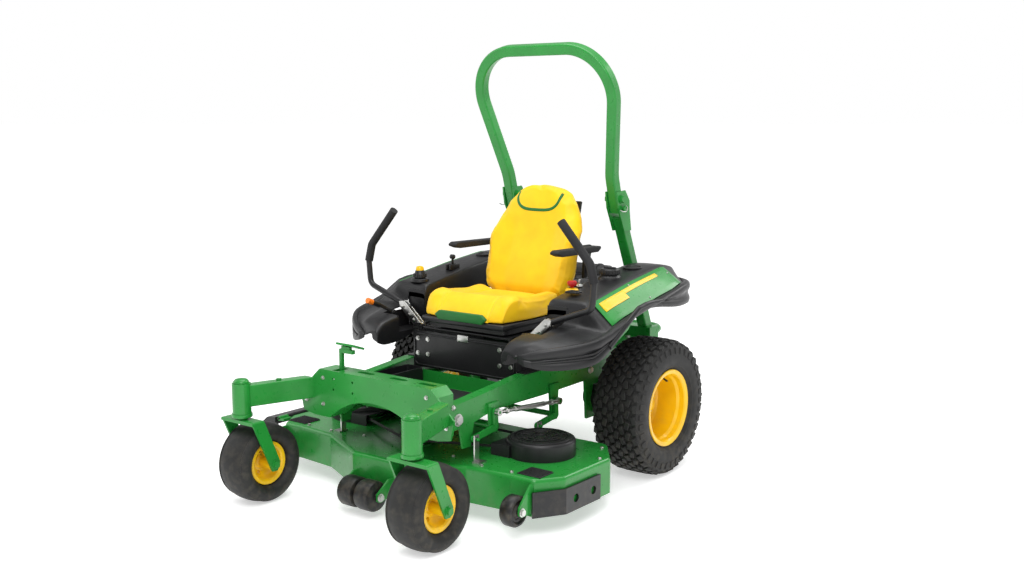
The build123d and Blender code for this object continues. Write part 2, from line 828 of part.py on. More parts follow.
# ---------------------------------------------------------------- roll bar
def roll_bar():
    """Make the fixed posts with their clevises, bolts and lock pins, and the folding hoop."""
    px, py, pz = rops_pivot
    lean = math.radians(rops_lean)
    down = Vector(0, math.sin(lean), -math.cos(lean))
    lock = Vector(0, py, pz) + down * rops_lock_drop
    post_top_z = pz - 84
    slope = (post_foot_y - py) / (pz - 560.0)
    ear = 8.0
    half = post_tube / 2
    with BuildPart() as posts:
        for sign in (1, -1):
            x = sign * px
            low = (x, post_foot_y, 560)
            high = (x, py + slope * (pz - post_top_z), post_top_z)
            line = Vector(*high) - Vector(*low)
            foot = Vector(*low) - line.normalized() * 40
            with BuildSketch(Plane(origin=foot, x_dir=(1, 0, 0), z_dir=line)):
                RectangleRounded(post_tube, post_tube, 7)
            extrude(amount=line.length + 40)
        span((-500, 0, 560), (500, 700, 2000), Mode.INTERSECT)
        for sign in (1, -1):
            x = sign * px
            for inner in (x + half - 0.5, x - half - ear + 0.5):
                side_plate(
                    [
                        (py - 36, pz + 34),
                        (py + 34, pz + 40),
                        (py + 72, pz - 10),
                        (py + 74, pz - 60),
                        (py + 90, pz - 150),
                        (py + 30, pz - 150),
                        (py - 24, pz - 40),
                    ],
                    inner,
                    inner + ear,
                )
            # the clevis is open between its ears for the hoop's foot
            side_plate(
                [(py - 60, pz + 60), (py + 100, pz + 60), (py + 130, post_top_z), (py - 60, post_top_z)],
                x - half,
                x + half,
                Mode.SUBTRACT,
            )
            for y, z, radius in ((py, pz, 10), (lock.Y, lock.Z, 8)):
                rod((x - 60, y, z), (x + 60, y, z), radius + run, Mode.SUBTRACT)
    with BuildPart() as pins:
        for sign in (1, -1):
            x = sign * px
            reach = half + ear + 1
            rod((x - reach, py, pz), (x + reach, py, pz), 10)
            hexagon_bolt((x + reach - 1 + gap, py, pz), (1, 0, 0), 10, 14)
            hexagon_bolt((x - reach + 1 - gap, py, pz), (-1, 0, 0), 10, 14)
            rod((x - reach - 8, lock.Y, lock.Z), (x + reach + 8, lock.Y, lock.Z), 8)
            rod((x + sign * (reach + 8), lock.Y, lock.Z), (x + sign * (reach + 16), lock.Y, lock.Z), 14)
    with BuildPart() as group:
        add(posts.part)
        add(pins.part)
    save(group, "rops_posts")

    plane = Plane(origin=(0, py, pz), x_dir=(1, 0, 0), z_dir=(0, -math.cos(lean), -math.sin(lean)))
    top_v = (rops_top_z - pz) / math.cos(lean)
    tail = 62.0
    with BuildPart() as hoop:
        with BuildLine(plane) as path:
            FilletPolyline(
                (px, -tail),
                (px, 110),
                (px + 118, top_v),
                (-px - 118, top_v),
                (-px, 110),
                (-px, -tail),
                radius=[280, 215, 215, 280],
            )
        with BuildSketch(Plane(origin=path.line @ 0, x_dir=(1, 0, 0), z_dir=path.line % 0)):
            RectangleRounded(rops_tube, rops_tube, 8)
            RectangleRounded(rops_tube - 2 * rops_wall, rops_tube - 2 * rops_wall, 4, mode=Mode.SUBTRACT)
        sweep(path=path.line)
        for sign in (1, -1):
            x = sign * px
            rod((x - 24, py, pz), (x + 24, py, pz), 17)
            rod((x - 40, py, pz), (x + 40, py, pz), 10 + run, Mode.SUBTRACT)
            # the notch that lets the hoop leave its lock pin, open to the rear
            notch = Plane(
                origin=(x - 40, lock.Y, lock.Z),
                x_dir=(0, math.cos(lean), math.sin(lean)),
                z_dir=(1, 0, 0),
            )
            with BuildSketch(notch):
                with BuildLine():
                    Polyline((-9, -9), (60, -9), (60, 19), (-2, 19), (-9, 9), close=True)
                make_face()
            extrude(amount=80, mode=Mode.SUBTRACT)
    save(hoop, "rops_hoop")


# ---------------------------------------------------------------- seat
def seat():
    """Make the tilting plate, the pan on its slides, the cushions and the armrests."""
    with BuildPart() as tilt_plate:
        span((-240, seat_hinge_y, seat_hinge_z), (240, -66, seat_hinge_z + 5))
        rod((-258, seat_hinge_y, seat_hinge_z), (258, seat_hinge_y, seat_hinge_z), seat_pin_radius)
        for x in (-165, 150):
            span((x, -520, seat_hinge_z + 4), (x + 15, -110, seat_hinge_z + 12))
    save(tilt_plate, "seat_plate")
    with BuildPart() as pan:
        span((-225, -560, seat_hinge_z + 14), (225, -70, 694))
        fillet(pan.edges().filter_by(Axis.Z), 30)
        for x in (-168, 147):
            span((x, -530, seat_hinge_z + 10), (x + 21, -100, seat_hinge_z + 20), Mode.SUBTRACT)
        side_plate(
            [
                (-90, 680),
                (-30, 680),
                (40, 960),
                (96, 1180),
                (84, 1184),
                (28, 964),
                (-52, 704),
                (-90, 690),
            ],
            -170,
            170,
        )
    save(pan, "seat_pan")
    with BuildPart() as cushion:
        side_plate(
            [(-590, 740), (-572, 696), (-140, 696), (-136, 790), (-300, 788), (-540, 806), (-585, 786)],
            -seat_half_width,
            seat_half_width,
        )
    save(cushion, "seat_cushion")
    with BuildPart() as back:
        side_plate(
            [
                (-134, 800),
                (-128, 708),
                (-70, 708),
                (20, 965),
                (76, 1184),
                (62, 1262),
                (8, 1268),
                (-28, 1180),
            ],
            -seat_half_width - 4,
            seat_half_width + 4,
        )
        with BuildSketch(Plane.XZ.offset(-200)):
            with BuildLine():
                Polyline(
                    (-205, 700),
                    (205, 700),
                    (258, 800),
                    (258, 1010),
                    (175, 1270),
                    (-175, 1270),
                    (-258, 1010),
                    (-258, 800),
                    close=True,
                )
            make_face()
        extrude(amount=500, mode=Mode.INTERSECT)
    save(back, "seat_back")
    for name, sign in sides:
        with BuildPart() as arm:
            inner = sign * (seat_half_width + 14)
            outer = sign * (seat_half_width + 68)
            side_plate(
                [(-299, 972), (-285, 962), (30, 962), (44, 975), (44, 992), (-280, 999), (-299, 988)],
                *sorted((inner, outer)),
            )
            rod((sign * (seat_half_width + 5), 22, 978), (inner, 22, 978), 13)
        save(arm, f"armrest_{name}")


# ---------------------------------------------------------------- levers and controls
def drive_lever(name, sign):
    """Make one drive lever: its base on the pin, and the lever with its grip."""
    x = sign * lever_swing_x
    with BuildPart() as base:
        rod((sign * 293, lever_y, lever_drive_z), (sign * 334, lever_y, lever_drive_z), 17)
        for y in (lever_y - 26, lever_y + 18):
            span((x - 16, y, lever_drive_z), (x + 16, y + 8, lever_swing_z + 16))
        span((x - 16, lever_y - 26, lever_drive_z), (x + 16, lever_y + 26, lever_drive_z + 16))
        rod(
            (sign * 290, lever_y, lever_drive_z),
            (sign * 345, lever_y, lever_drive_z),
            lever_pin_radius + run,
            Mode.SUBTRACT,
        )
        rod((x, lever_y - 30, lever_swing_z), (x, lever_y + 30, lever_swing_z), 8)
    save(base, f"lever_base_{name}")
    route = [(372, 706), (477, 745), (622, 796), (632, 905), (610, 983), (463, 1151)]
    points = [(sign * px, lever_y, pz) for px, pz in route]
    with BuildPart() as lever:
        with BuildLine() as path:
            FilletPolyline(*points[:4], (sign * 614, lever_y, 969), radius=[60, 44, 60])
        with BuildSketch(Plane(origin=path.line @ 0, z_dir=path.line % 0)):
            Circle(lever_tube_radius)
        sweep(path=path.line)
        with BuildSketch(Plane.XZ.offset(-lever_y - 6)):
            with BuildLine():
                Polyline(
                    (sign * 300, 620),
                    (sign * 322, 616),
                    (sign * 420, 706),
                    (sign * 428, 738),
                    (sign * 392, 736),
                    (sign * 296, 648),
                    close=True,
                )
            make_face()
        extrude(amount=12)
        rod((x, lever_y - 16, lever_swing_z), (x, lever_y + 16, lever_swing_z), 17)
        rod((x, lever_y - 20, lever_swing_z), (x, lever_y + 20, lever_swing_z), 8 + run, Mode.SUBTRACT)
    with BuildPart() as grip:
        with BuildLine() as bend:
            FilletPolyline((sign * 630.5, lever_y, 912), points[4], points[5], radius=60)
        with BuildSketch(Plane(origin=bend.line @ 0, z_dir=bend.line % 0)):
            Circle(grip_radius)
        sweep(path=bend.line)
        add(lever.part, mode=Mode.SUBTRACT)
    with BuildPart() as group:
        add(lever.part)
        add(grip.part.solids().sort_by(SortBy.VOLUME)[-1])
    save(group, f"lever_{name}")


def controls():
    """Make the deck pedal and the small controls on the pods."""
    with BuildPart() as pedal:
        rod((pedal_x - 28, pedal_y, pedal_z), (pedal_x + 28, pedal_y, pedal_z), pedal_pin_radius)
        rod((pedal_x - 12, pedal_y, pedal_z), (pedal_x + 12, pedal_y, pedal_z), 16)
        span((pedal_x - 7, pedal_y - 8, pedal_z), (pedal_x + 7, pedal_y + 8, 618))
        span((pedal_x - 7, pedal_y - 8, 612), (pedal_x + 70, pedal_y + 8, 628))
        pad = Plane(origin=(pedal_x + 28, pedal_y + 20, 634), x_dir=(1, 0, 0), z_dir=(0, 0.35, 1))
        with BuildSketch(pad):
            RectangleRounded(104, 76, 10)
        extrude(amount=9)
        span((pedal_x + 4, pedal_y - 6, 622), (pedal_x + 52, pedal_y + 8, 640))
    save(pedal, "deck_pedal")

    with BuildPart() as dial:
        rod((dial_x, dial_y, 800), (dial_x, dial_y, 830), dial_stem_radius)
        rod((dial_x, dial_y, 828), (dial_x, dial_y, 862), 30)
        with BuildSketch(Plane.XY.offset(862)):
            with Locations((dial_x, dial_y)):
                Circle(22)
        extrude(amount=22)
        with BuildSketch(Plane.XY.offset(828)):
            with Locations((dial_x, dial_y)):
                with PolarLocations(32, 12):
                    Circle(4)
        extrude(amount=34, mode=Mode.SUBTRACT)
    save(dial, "height_dial")

    with BuildPart() as brake:
        rod((brake_x - 18, brake_y, brake_z), (brake_x + 5, brake_y, brake_z), brake_pin_radius)
        rod((brake_x - 9, brake_y, brake_z), (brake_x + 5, brake_y, brake_z), 15)
        side_plate(
            [
                (brake_y + 4, brake_z - 8),
                (brake_y + 4, brake_z + 10),
                (brake_y - 105, brake_z + 64),
                (brake_y - 111, brake_z + 50),
            ],
            brake_x - 5,
            brake_x + 3,
        )
        rod((brake_x - 1, brake_y - 95, brake_z + 49), (brake_x - 1, brake_y - 167, brake_z + 78), 13)
    save(brake, "brake_lever")

    with BuildPart() as throttle:
        rod((throttle_x - 11, throttle_y, 862), (throttle_x + 11, throttle_y, 862), throttle_pin_radius)
        side_plate(
            [
                (throttle_y - 9, 852),
                (throttle_y + 9, 852),
                (throttle_y + 6, 905),
                (throttle_y - 6, 905),
            ],
            throttle_x - 2.5,
            throttle_x + 2.5,
        )
        rod((throttle_x - 12, throttle_y, 908), (throttle_x + 12, throttle_y, 908), 11)
    save(throttle, "throttle_lever")

    with BuildPart() as switch:
        rod((pto_x, pto_y, 812), (pto_x, pto_y, 852), pto_stem_radius)
        rod((pto_x, pto_y, 848), (pto_x, pto_y, 872), 21)
        fillet(switch.edges().group_by(Axis.Z)[-1], 6)
    save(switch, "pto_switch")

    with BuildPart() as cap:
        rod((cap_x, cap_y, 882), (cap_x, cap_y, 908), 44)
        fillet(cap.edges().group_by(Axis.Z)[-1], 6)
        rod((cap_x, cap_y, 881), (cap_x, cap_y, 900), cap_neck_radius + gap, Mode.SUBTRACT)
        with BuildSketch(Plane.XY.offset(881)):
            with Locations((cap_x, cap_y)):
                with PolarLocations(46, 16):
                    Circle(4.5)
        extrude(amount=30, mode=Mode.SUBTRACT)
    save(cap, "fuel_cap")


# ---------------------------------------------------------------- deck
def deck():
    """Make the shell of the deck with its spindle housings and its roller brackets."""
    outline = deck_half_outline + [(-x, y) for x, y in reversed(deck_half_outline)]
    spindles = (side_spindle, (-side_spindle[0], side_spindle[1]), centre_spindle)
    with BuildPart() as shell:
        with BuildSketch(Plane.XY.offset(deck_skirt_z)):
            with BuildLine():
                Polyline(*outline, close=True)
            make_face()
            fillet(vertices(), 26)
        extrude(amount=deck_top_z - deck_skirt_z)
        fillet(shell.edges().group_by(Axis.Z)[-1], 16)
        opening = shell.faces().sort_by(Axis.Z)[0]
        offset(amount=-deck_wall, openings=opening)
        # the side opening where the clippings leave
        span(
            (-deck_half_width - 5, -955, deck_skirt_z - 5),
            (-deck_half_width + 20, -575, 196),
            Mode.SUBTRACT,
        )
        for x, y in spindles:
            rod((x, y, 178), (x, y, deck_top_z + 16), 44)
            rod((x, y, deck_top_z - 1), (x, y, deck_top_z + 4), 70)
            rod((x, y, 170), (x, y, deck_top_z + 20), spindle_radius + run, Mode.SUBTRACT)
        # arms of the front rollers
        for low in (-102, 94):
            side_plate(
                [
                    (-1124, 150),
                    (-1124, 84),
                    (roller_y, roller_z - 22),
                    (roller_y - 16, roller_z - 12),
                    (roller_y - 16, roller_z + 16),
                    (-1150, 150),
                ],
                low,
                low + 8,
            )
        # arms of the gauge wheels
        for sign in (1, -1):
            plate_in = gauge_x + gauge_width / 2 + 3
            side_plate(
                [
                    (-980, 205),
                    (-980, 95),
                    (gauge_y, gauge_z - 20),
                    (gauge_y - 16, gauge_z - 8),
                    (gauge_y - 14, gauge_z + 20),
                    (-1000, 205),
                ],
                *sorted((sign * plate_in, sign * (plate_in + 8))),
            )
            rod(
                (sign * (plate_in - 1), gauge_y, gauge_z),
                (sign * (plate_in + 9), gauge_y, gauge_z),
                8 + run,
                Mode.SUBTRACT,
            )
        rod((-110, roller_y, roller_z), (110, roller_y, roller_z), 8 + run, Mode.SUBTRACT)
        # the hinge of the chute
        rod((hinge_x, -950, hinge_z), (hinge_x, -900, hinge_z), 11)
        rod((hinge_x, -630, hinge_z), (hinge_x, -580, hinge_z), 11)
        for y in (-950, -630):
            span((hinge_x, y, hinge_z - 8), (-deck_half_width + 22, y + 50, hinge_z + 2))
        rod((hinge_x, -960, hinge_z), (hinge_x, -570, hinge_z), hinge_pin_radius + run, Mode.SUBTRACT)
    save(shell, "deck_shell")


def chute():
    """Make the discharge chute with the pin that it turns on."""
    outer = -deck_half_width - chute_reach
    with BuildPart() as guard:
        with BuildSketch(Plane.XZ.offset(960)):
            with BuildLine():
                Polyline(
                    (hinge_x - 8, 206),
                    (hinge_x - 8, 222),
                    (outer + 60, 216),
                    (outer, 168),
                    (outer, 112),
                    (hinge_x + 4, 112),
                    (hinge_x + 4, 190),
                    close=True,
                )
            make_face()
        extrude(amount=-390)
        with BuildSketch(Plane.XZ.offset(955)):
            with BuildLine():
                Polyline(
                    (hinge_x + 20, 100),
                    (hinge_x + 20, 196),
                    (hinge_x - 8, 202),
                    (outer + 58, 211),
                    (outer + 4, 166),
                    (outer + 4, 100),
                    close=True,
                )
            make_face()
        extrude(amount=-380, mode=Mode.SUBTRACT)
        span((outer - 5, -940, 100), (outer + 40, -590, 150), Mode.SUBTRACT)
        rod((hinge_x, -898, hinge_z), (hinge_x, -632, hinge_z), 11)
        span((hinge_x - 30, -898, hinge_z - 6), (hinge_x, -632, hinge_z + 1))
        for low, high in ((-961, -899), (-631, -569)):
            span((hinge_x - 14, low, 198), (hinge_x + 20, high, 240), Mode.SUBTRACT)
        rod((hinge_x, -954, hinge_z), (hinge_x, -576, hinge_z), hinge_pin_radius)
    save(guard, "discharge_chute")


def belt_cover(sign):
    """Shape one belt cover: a round dome and the low tunnel that the belt runs in."""
    skin = 4.0
    x, y = sign * (side_spindle[0] + 25), side_spindle[1] - 15
    base_z = deck_top_z + gap
    tunnel_in, tunnel_out = rail_outer_x + 12, side_spindle[0] - 35
    tunnel_x = sign * (tunnel_in + tunnel_out) / 2
    tunnel_size = (tunnel_out - tunnel_in, 240.0)
    with BuildPart() as cover:
        with BuildSketch(Plane.XY.offset(base_z)):
            with Locations((x, y)):
                Circle(cover_radius)
        extrude(amount=cover_height)
        fillet(cover.edges().group_by(Axis.Z)[-1], 14)
        with BuildSketch(Plane.XY.offset(base_z)):
            with Locations((tunnel_x, y - 15)):
                Rectangle(*tunnel_size)
        extrude(amount=tunnel_height)
        for ring in (50, 86, 118):
            with BuildSketch(Plane.XY.offset(base_z + cover_height)):
                with Locations((x, y)):
                    Circle(ring)
                    Circle(ring - 8, mode=Mode.SUBTRACT)
            extrude(amount=4)
        with BuildSketch(Plane.XY.offset(base_z)):
            with Locations((x, y)):
                Circle(cover_radius - skin)
        extrude(amount=cover_height - 16, mode=Mode.SUBTRACT)
        with BuildSketch(Plane.XY.offset(base_z)):
            with Locations((x, y)):
                Circle(cover_radius - 18)
        extrude(amount=cover_height - skin, mode=Mode.SUBTRACT)
        with BuildSketch(Plane.XY.offset(base_z)):
            with Locations((tunnel_x, y - 15)):
                Rectangle(tunnel_size[0] - 2 * skin, tunnel_size[1] - 2 * skin)
        extrude(amount=tunnel_height - skin, mode=Mode.SUBTRACT)
        span(
            (sign * (tunnel_in - 30), y - 131, base_z - 10),
            (sign * (tunnel_in + skin + 1), y + 101, base_z + tunnel_height - skin),
            Mode.SUBTRACT,
        )
    return cover.part


def deck_trim():
    """Make the belt covers, the side bumper, the belt and the wheels under the deck."""
    with BuildPart() as covers:
        for sign in (1, -1):
            add(belt_cover(sign))
    save(covers, "belt_covers")

    bumper_path = [(699, -1003), (deck_half_width + 8, -885), (deck_half_width + 8, -650)]
    with BuildPart() as bumper:
        with BuildSketch(Plane.XY.offset(deck_skirt_z + 2)):
            with BuildLine():
                Polyline(*bumper_path)
            trace(line_width=9)
        extrude(amount=100)
        for y in (-820, -700):
            rod((deck_half_width - 5, y, 125), (deck_half_width + 20, y, 125), 17, Mode.SUBTRACT)
        for y in (-860, -760, -665):
            span((deck_half_width + gap, y - 12, 100), (deck_half_width + 6, y + 12, 150))
    save(bumper, "side_bumper")

    spindles = (side_spindle, (-side_spindle[0], side_spindle[1]), centre_spindle)
    with BuildPart() as belt:
        with BuildSketch(Plane.XY.offset(246)):
            with Locations(*spindles):
                Circle(pulley_radius - 1)
            make_hull()
        extrude(amount=10)
        with BuildSketch(Plane.XY.offset(246)):
            with Locations(*spindles):
                Circle(pulley_radius - 7 + gap)
            make_hull()
        extrude(amount=10, mode=Mode.SUBTRACT)
    save(belt, "deck_belt")

    with BuildPart() as rollers:
        for x in (-46, 46):
            rod((x - 40, roller_y, roller_z), (x + 40, roller_y, roller_z), roller_radius)
        fillet(rollers.edges().filter_by(GeomType.CIRCLE), 14)
        rod((-90, roller_y, roller_z), (90, roller_y, roller_z), 20)
        rod((-95, roller_y, roller_z), (95, roller_y, roller_z), 8 + run, Mode.SUBTRACT)
    save(rollers, "front_rollers")

    for name, sign in sides:
        with BuildPart() as wheel:
            x = sign * gauge_x
            rod(
                (x - gauge_width / 2, gauge_y, gauge_z),
                (x + gauge_width / 2, gauge_y, gauge_z),
                gauge_radius,
            )
            fillet(wheel.edges().filter_by(GeomType.CIRCLE), 12)
            rod((x - 30, gauge_y, gauge_z), (x + 30, gauge_y, gauge_z), 8 + run, Mode.SUBTRACT)
        save(wheel, f"gauge_wheel_{name}")

    names = ("left", "right", "centre")
    for name, (x, y) in zip(names, spindles):
        with BuildPart() as spindle:
            rod((x, y, 100), (x, y, 272), spindle_radius)
            rod((x, y, 120), (x, y, 172), spindle_radius + 9)
            rod((x, y, 240), (x, y, 262), pulley_radius)
            with BuildSketch(Plane.XY.offset(245)):
                with Locations((x, y)):
                    Circle(pulley_radius + 5)
                    Circle(pulley_radius - 7, mode=Mode.SUBTRACT)
            extrude(amount=12, mode=Mode.SUBTRACT)
            with BuildSketch(Plane.XY.offset(262)):
                with Locations((x, y)):
                    RegularPolygon(spindle_radius + 9, 6)
            extrude(amount=14)
            with BuildSketch(Plane.XY.offset(108)):
                with Locations((x, y)):
                    Rectangle(2 * blade_radius - 4, 62)
            extrude(amount=6)
            for end in (1, -1):
                lift = Plane(
                    origin=(x + end * (blade_radius - 70), y + end * 24, 113),
                    x_dir=(1, 0, 0),
                    z_dir=(0, -end * 0.5, 1),
                )
                with BuildSketch(lift):
                    Rectangle(110, 30)
                extrude(amount=5)
            with BuildSketch(Plane.XY.offset(94)):
                with Locations((x, y)):
                    RegularPolygon(spindle_radius + 7, 6)
            extrude(amount=16)
        save(spindle, f"blade_spindle_{name}")


# ---------------------------------------------------------------- deck lift
def deck_lift():
    """Make the two cross shafts with their arms, the rods between them and the deck links."""
    arm_in, arm_out = rail_outer_x + 14, rail_outer_x + 24
    pin_out = rail_outer_x + 46
    for name, (y, z) in (("front", lift_front), ("rear", lift_rear)):
        with BuildPart() as shaft:
            rod((-arm_out, y, z), (arm_out, y, z), lift_shaft_radius)
            for sign in (1, -1):
                for reach in (lift_arm, lift_upright):
                    tip = (y + reach[0], z + reach[1])
                    line = Vector(0, *reach)
                    length = line.length
                    middle = Plane(
                        origin=(sign * arm_in, y + reach[0] / 2, z + reach[1] / 2),
                        x_dir=(0, *reach),
                        z_dir=(sign, 0, 0),
                    )
                    with BuildSketch(middle):
                        SlotCenterToCenter(length, 26)
                    extrude(amount=arm_out - arm_in)
                    rod((sign * arm_in, *tip), (sign * pin_out, *tip), lift_pin_radius)
        save(shaft, f"{name}_lift_shaft")

    rod_x = rail_outer_x + 36
    front_pin = (lift_front[0] + lift_upright[0], lift_front[1] + lift_upright[1])
    rear_pin = (lift_rear[0] + lift_upright[0], lift_rear[1] + lift_upright[1])
    along = Vector(0, rear_pin[0] - front_pin[0], rear_pin[1] - front_pin[1]).normalized()
    with BuildPart() as rods:
        for sign in (1, -1):
            x = sign * rod_x
            start = Vector(x, *front_pin)
            end = Vector(x, *rear_pin)
            rod(tuple(start + along * 10), tuple(end - along * 10), 8)
            rod(tuple(start + along * 110), tuple(end - along * 110), 11)
            for centre in (start, end):
                rod((x - 9, centre.Y, centre.Z), (x + 9, centre.Y, centre.Z), 15)
            for centre in (start, end):
                rod(
                    (x - 12, centre.Y, centre.Z),
                    (x + 12, centre.Y, centre.Z),
                    lift_pin_radius + 0.5,
                    Mode.SUBTRACT,
                )
    save(rods, "lift_rods")

    with BuildPart() as links:
        for sign in (1, -1):
            for y, z in (lift_front, lift_rear):
                pin_y, pin_z = y + lift_arm[0], z + lift_arm[1]
                low = sign * (rail_outer_x + 30)
                high = sign * (rail_outer_x + 36)
                side_plate(
                    [
                        (pin_y - 14, deck_top_z),
                        (pin_y + 14, deck_top_z),
                        (pin_y + 14, pin_z + 18),
                        (pin_y - 14, pin_z + 18),
                    ],
                    *sorted((low, high)),
                )
                foot_x = sign * (rail_outer_x + 66)
                span((low, pin_y - 24, deck_top_z), (foot_x, pin_y + 24, deck_top_z + 6))
                rod(
                    (sign * (rail_outer_x + 28), pin_y, pin_z),
                    (sign * (rail_outer_x + 38), pin_y, pin_z),
                    lift_pin_radius + 3,
                    Mode.SUBTRACT,
                )
    with BuildPart() as axles:
        rod((-102, roller_y, roller_z), (102, roller_y, roller_z), 8)
        hexagon_bolt((102 + gap, roller_y, roller_z), (1, 0, 0), 8, 10)
        hexagon_bolt((-102 - gap, roller_y, roller_z), (-1, 0, 0), 8, 10)
    with BuildPart() as gauge_axles:
        for sign in (1, -1):
            outer = sign * (gauge_x + gauge_width / 2 + 11)
            rod((sign * (gauge_x - gauge_width / 2), gauge_y, gauge_z), (outer, gauge_y, gauge_z), 8)
            hexagon_bolt((outer + sign * gap, gauge_y, gauge_z), (sign, 0, 0), 8, 10)
            inner_x = sign * (gauge_x - gauge_width / 2 - gap)
            hexagon_bolt((inner_x, gauge_y, gauge_z), (-sign, 0, 0), 8, 8)
    with BuildPart() as group:
        add(links.part)
        add(axles.part)
        add(gauge_axles.part)
    save(group, "deck_links")


# ---------------------------------------------------------------- fasteners on the frame
def chassis_bolts():
    """Make the bolts that hold the frame, the seat base and the crossmember together."""
    with BuildPart() as bolts:
        for sign in (1, -1):
            for y in (back_plate_y - 32, back_plate_y + 28):
                hexagon_bolt((sign * rail_outer_x, y, 400), (sign, 0, 0), 12, 11)
            for x in (203, 262):
                for z in (523, 591):
                    hexagon_bolt((sign * x, -568, z), (0, -1, 0), 5, 7)
            for y in (-80, 80):
                hexagon_bolt((sign * rail_outer_x, y, 440), (sign, 0, 0), 8, 10)
            for y in (60, 380):
                hexagon_bolt((sign * 250, y, rail_top_z + 8), (0, 0, 1), 8, 9)
    save(bolts, "chassis_bolts")


for side_name, side_sign in sides:
    caster(side_name, side_sign)
    rear_wheel(side_name, side_sign)
    caster_arm(side_name, side_sign)
    pod(side_name, side_sign)
    drive_lever(side_name, side_sign)
crossmember()
side_rails()
floor_pan()
tool_tray()
rear_frame()
seat_base()
engine()
drives()
roll_bar()
seat()
controls()
deck()
chute()
deck_trim()
deck_lift()
chassis_bolts()
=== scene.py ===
"""Looks of a zero turn mower, built in Blender around its fixed CAD frame.

Every place is given in metres in the machine's own frame: X+ to the operator's left, Y+ to
the rear, Z up, from the ground under the middle of the rear axle. Workshop.at() turns such a
place into the scene's, from where the frame's rear tyres are.
"""
import json
import logging
import math
from dataclasses import dataclass
from enum import Enum

import bpy
import numpy as np
from mathutils import Matrix, Vector

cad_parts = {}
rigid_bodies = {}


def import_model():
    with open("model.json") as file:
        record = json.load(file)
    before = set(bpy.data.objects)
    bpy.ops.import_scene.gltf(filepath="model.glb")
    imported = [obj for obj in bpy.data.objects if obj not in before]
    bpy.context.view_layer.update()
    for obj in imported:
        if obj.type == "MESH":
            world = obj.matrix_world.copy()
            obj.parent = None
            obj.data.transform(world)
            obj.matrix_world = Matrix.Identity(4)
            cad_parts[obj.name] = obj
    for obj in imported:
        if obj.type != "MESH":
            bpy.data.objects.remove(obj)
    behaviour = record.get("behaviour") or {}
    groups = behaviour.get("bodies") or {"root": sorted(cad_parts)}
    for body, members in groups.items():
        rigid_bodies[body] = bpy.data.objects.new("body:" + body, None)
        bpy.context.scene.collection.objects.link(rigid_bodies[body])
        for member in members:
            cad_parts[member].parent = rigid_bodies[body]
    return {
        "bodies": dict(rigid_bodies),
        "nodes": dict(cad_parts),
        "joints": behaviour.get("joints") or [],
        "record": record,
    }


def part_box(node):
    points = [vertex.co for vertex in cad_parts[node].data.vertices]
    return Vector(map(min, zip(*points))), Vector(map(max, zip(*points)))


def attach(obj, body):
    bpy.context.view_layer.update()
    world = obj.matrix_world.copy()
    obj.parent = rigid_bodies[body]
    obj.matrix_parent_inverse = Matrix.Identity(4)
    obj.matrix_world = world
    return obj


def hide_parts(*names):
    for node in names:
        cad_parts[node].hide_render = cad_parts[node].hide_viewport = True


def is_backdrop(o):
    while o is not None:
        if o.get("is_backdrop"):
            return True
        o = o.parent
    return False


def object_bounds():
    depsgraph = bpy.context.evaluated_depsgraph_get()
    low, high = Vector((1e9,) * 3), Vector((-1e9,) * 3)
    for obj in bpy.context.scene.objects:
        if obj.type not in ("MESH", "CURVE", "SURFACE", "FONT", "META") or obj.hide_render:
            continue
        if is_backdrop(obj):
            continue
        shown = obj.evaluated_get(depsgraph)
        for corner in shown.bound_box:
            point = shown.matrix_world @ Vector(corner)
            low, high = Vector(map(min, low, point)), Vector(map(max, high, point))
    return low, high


log = logging.getLogger("mower")
Point = tuple[float, float, float]


class Grain(Enum):
    """The fine surface relief of a finish."""

    NOISE = "noise"
    CELLS = "cells"
    BRUSHED = "brushed"


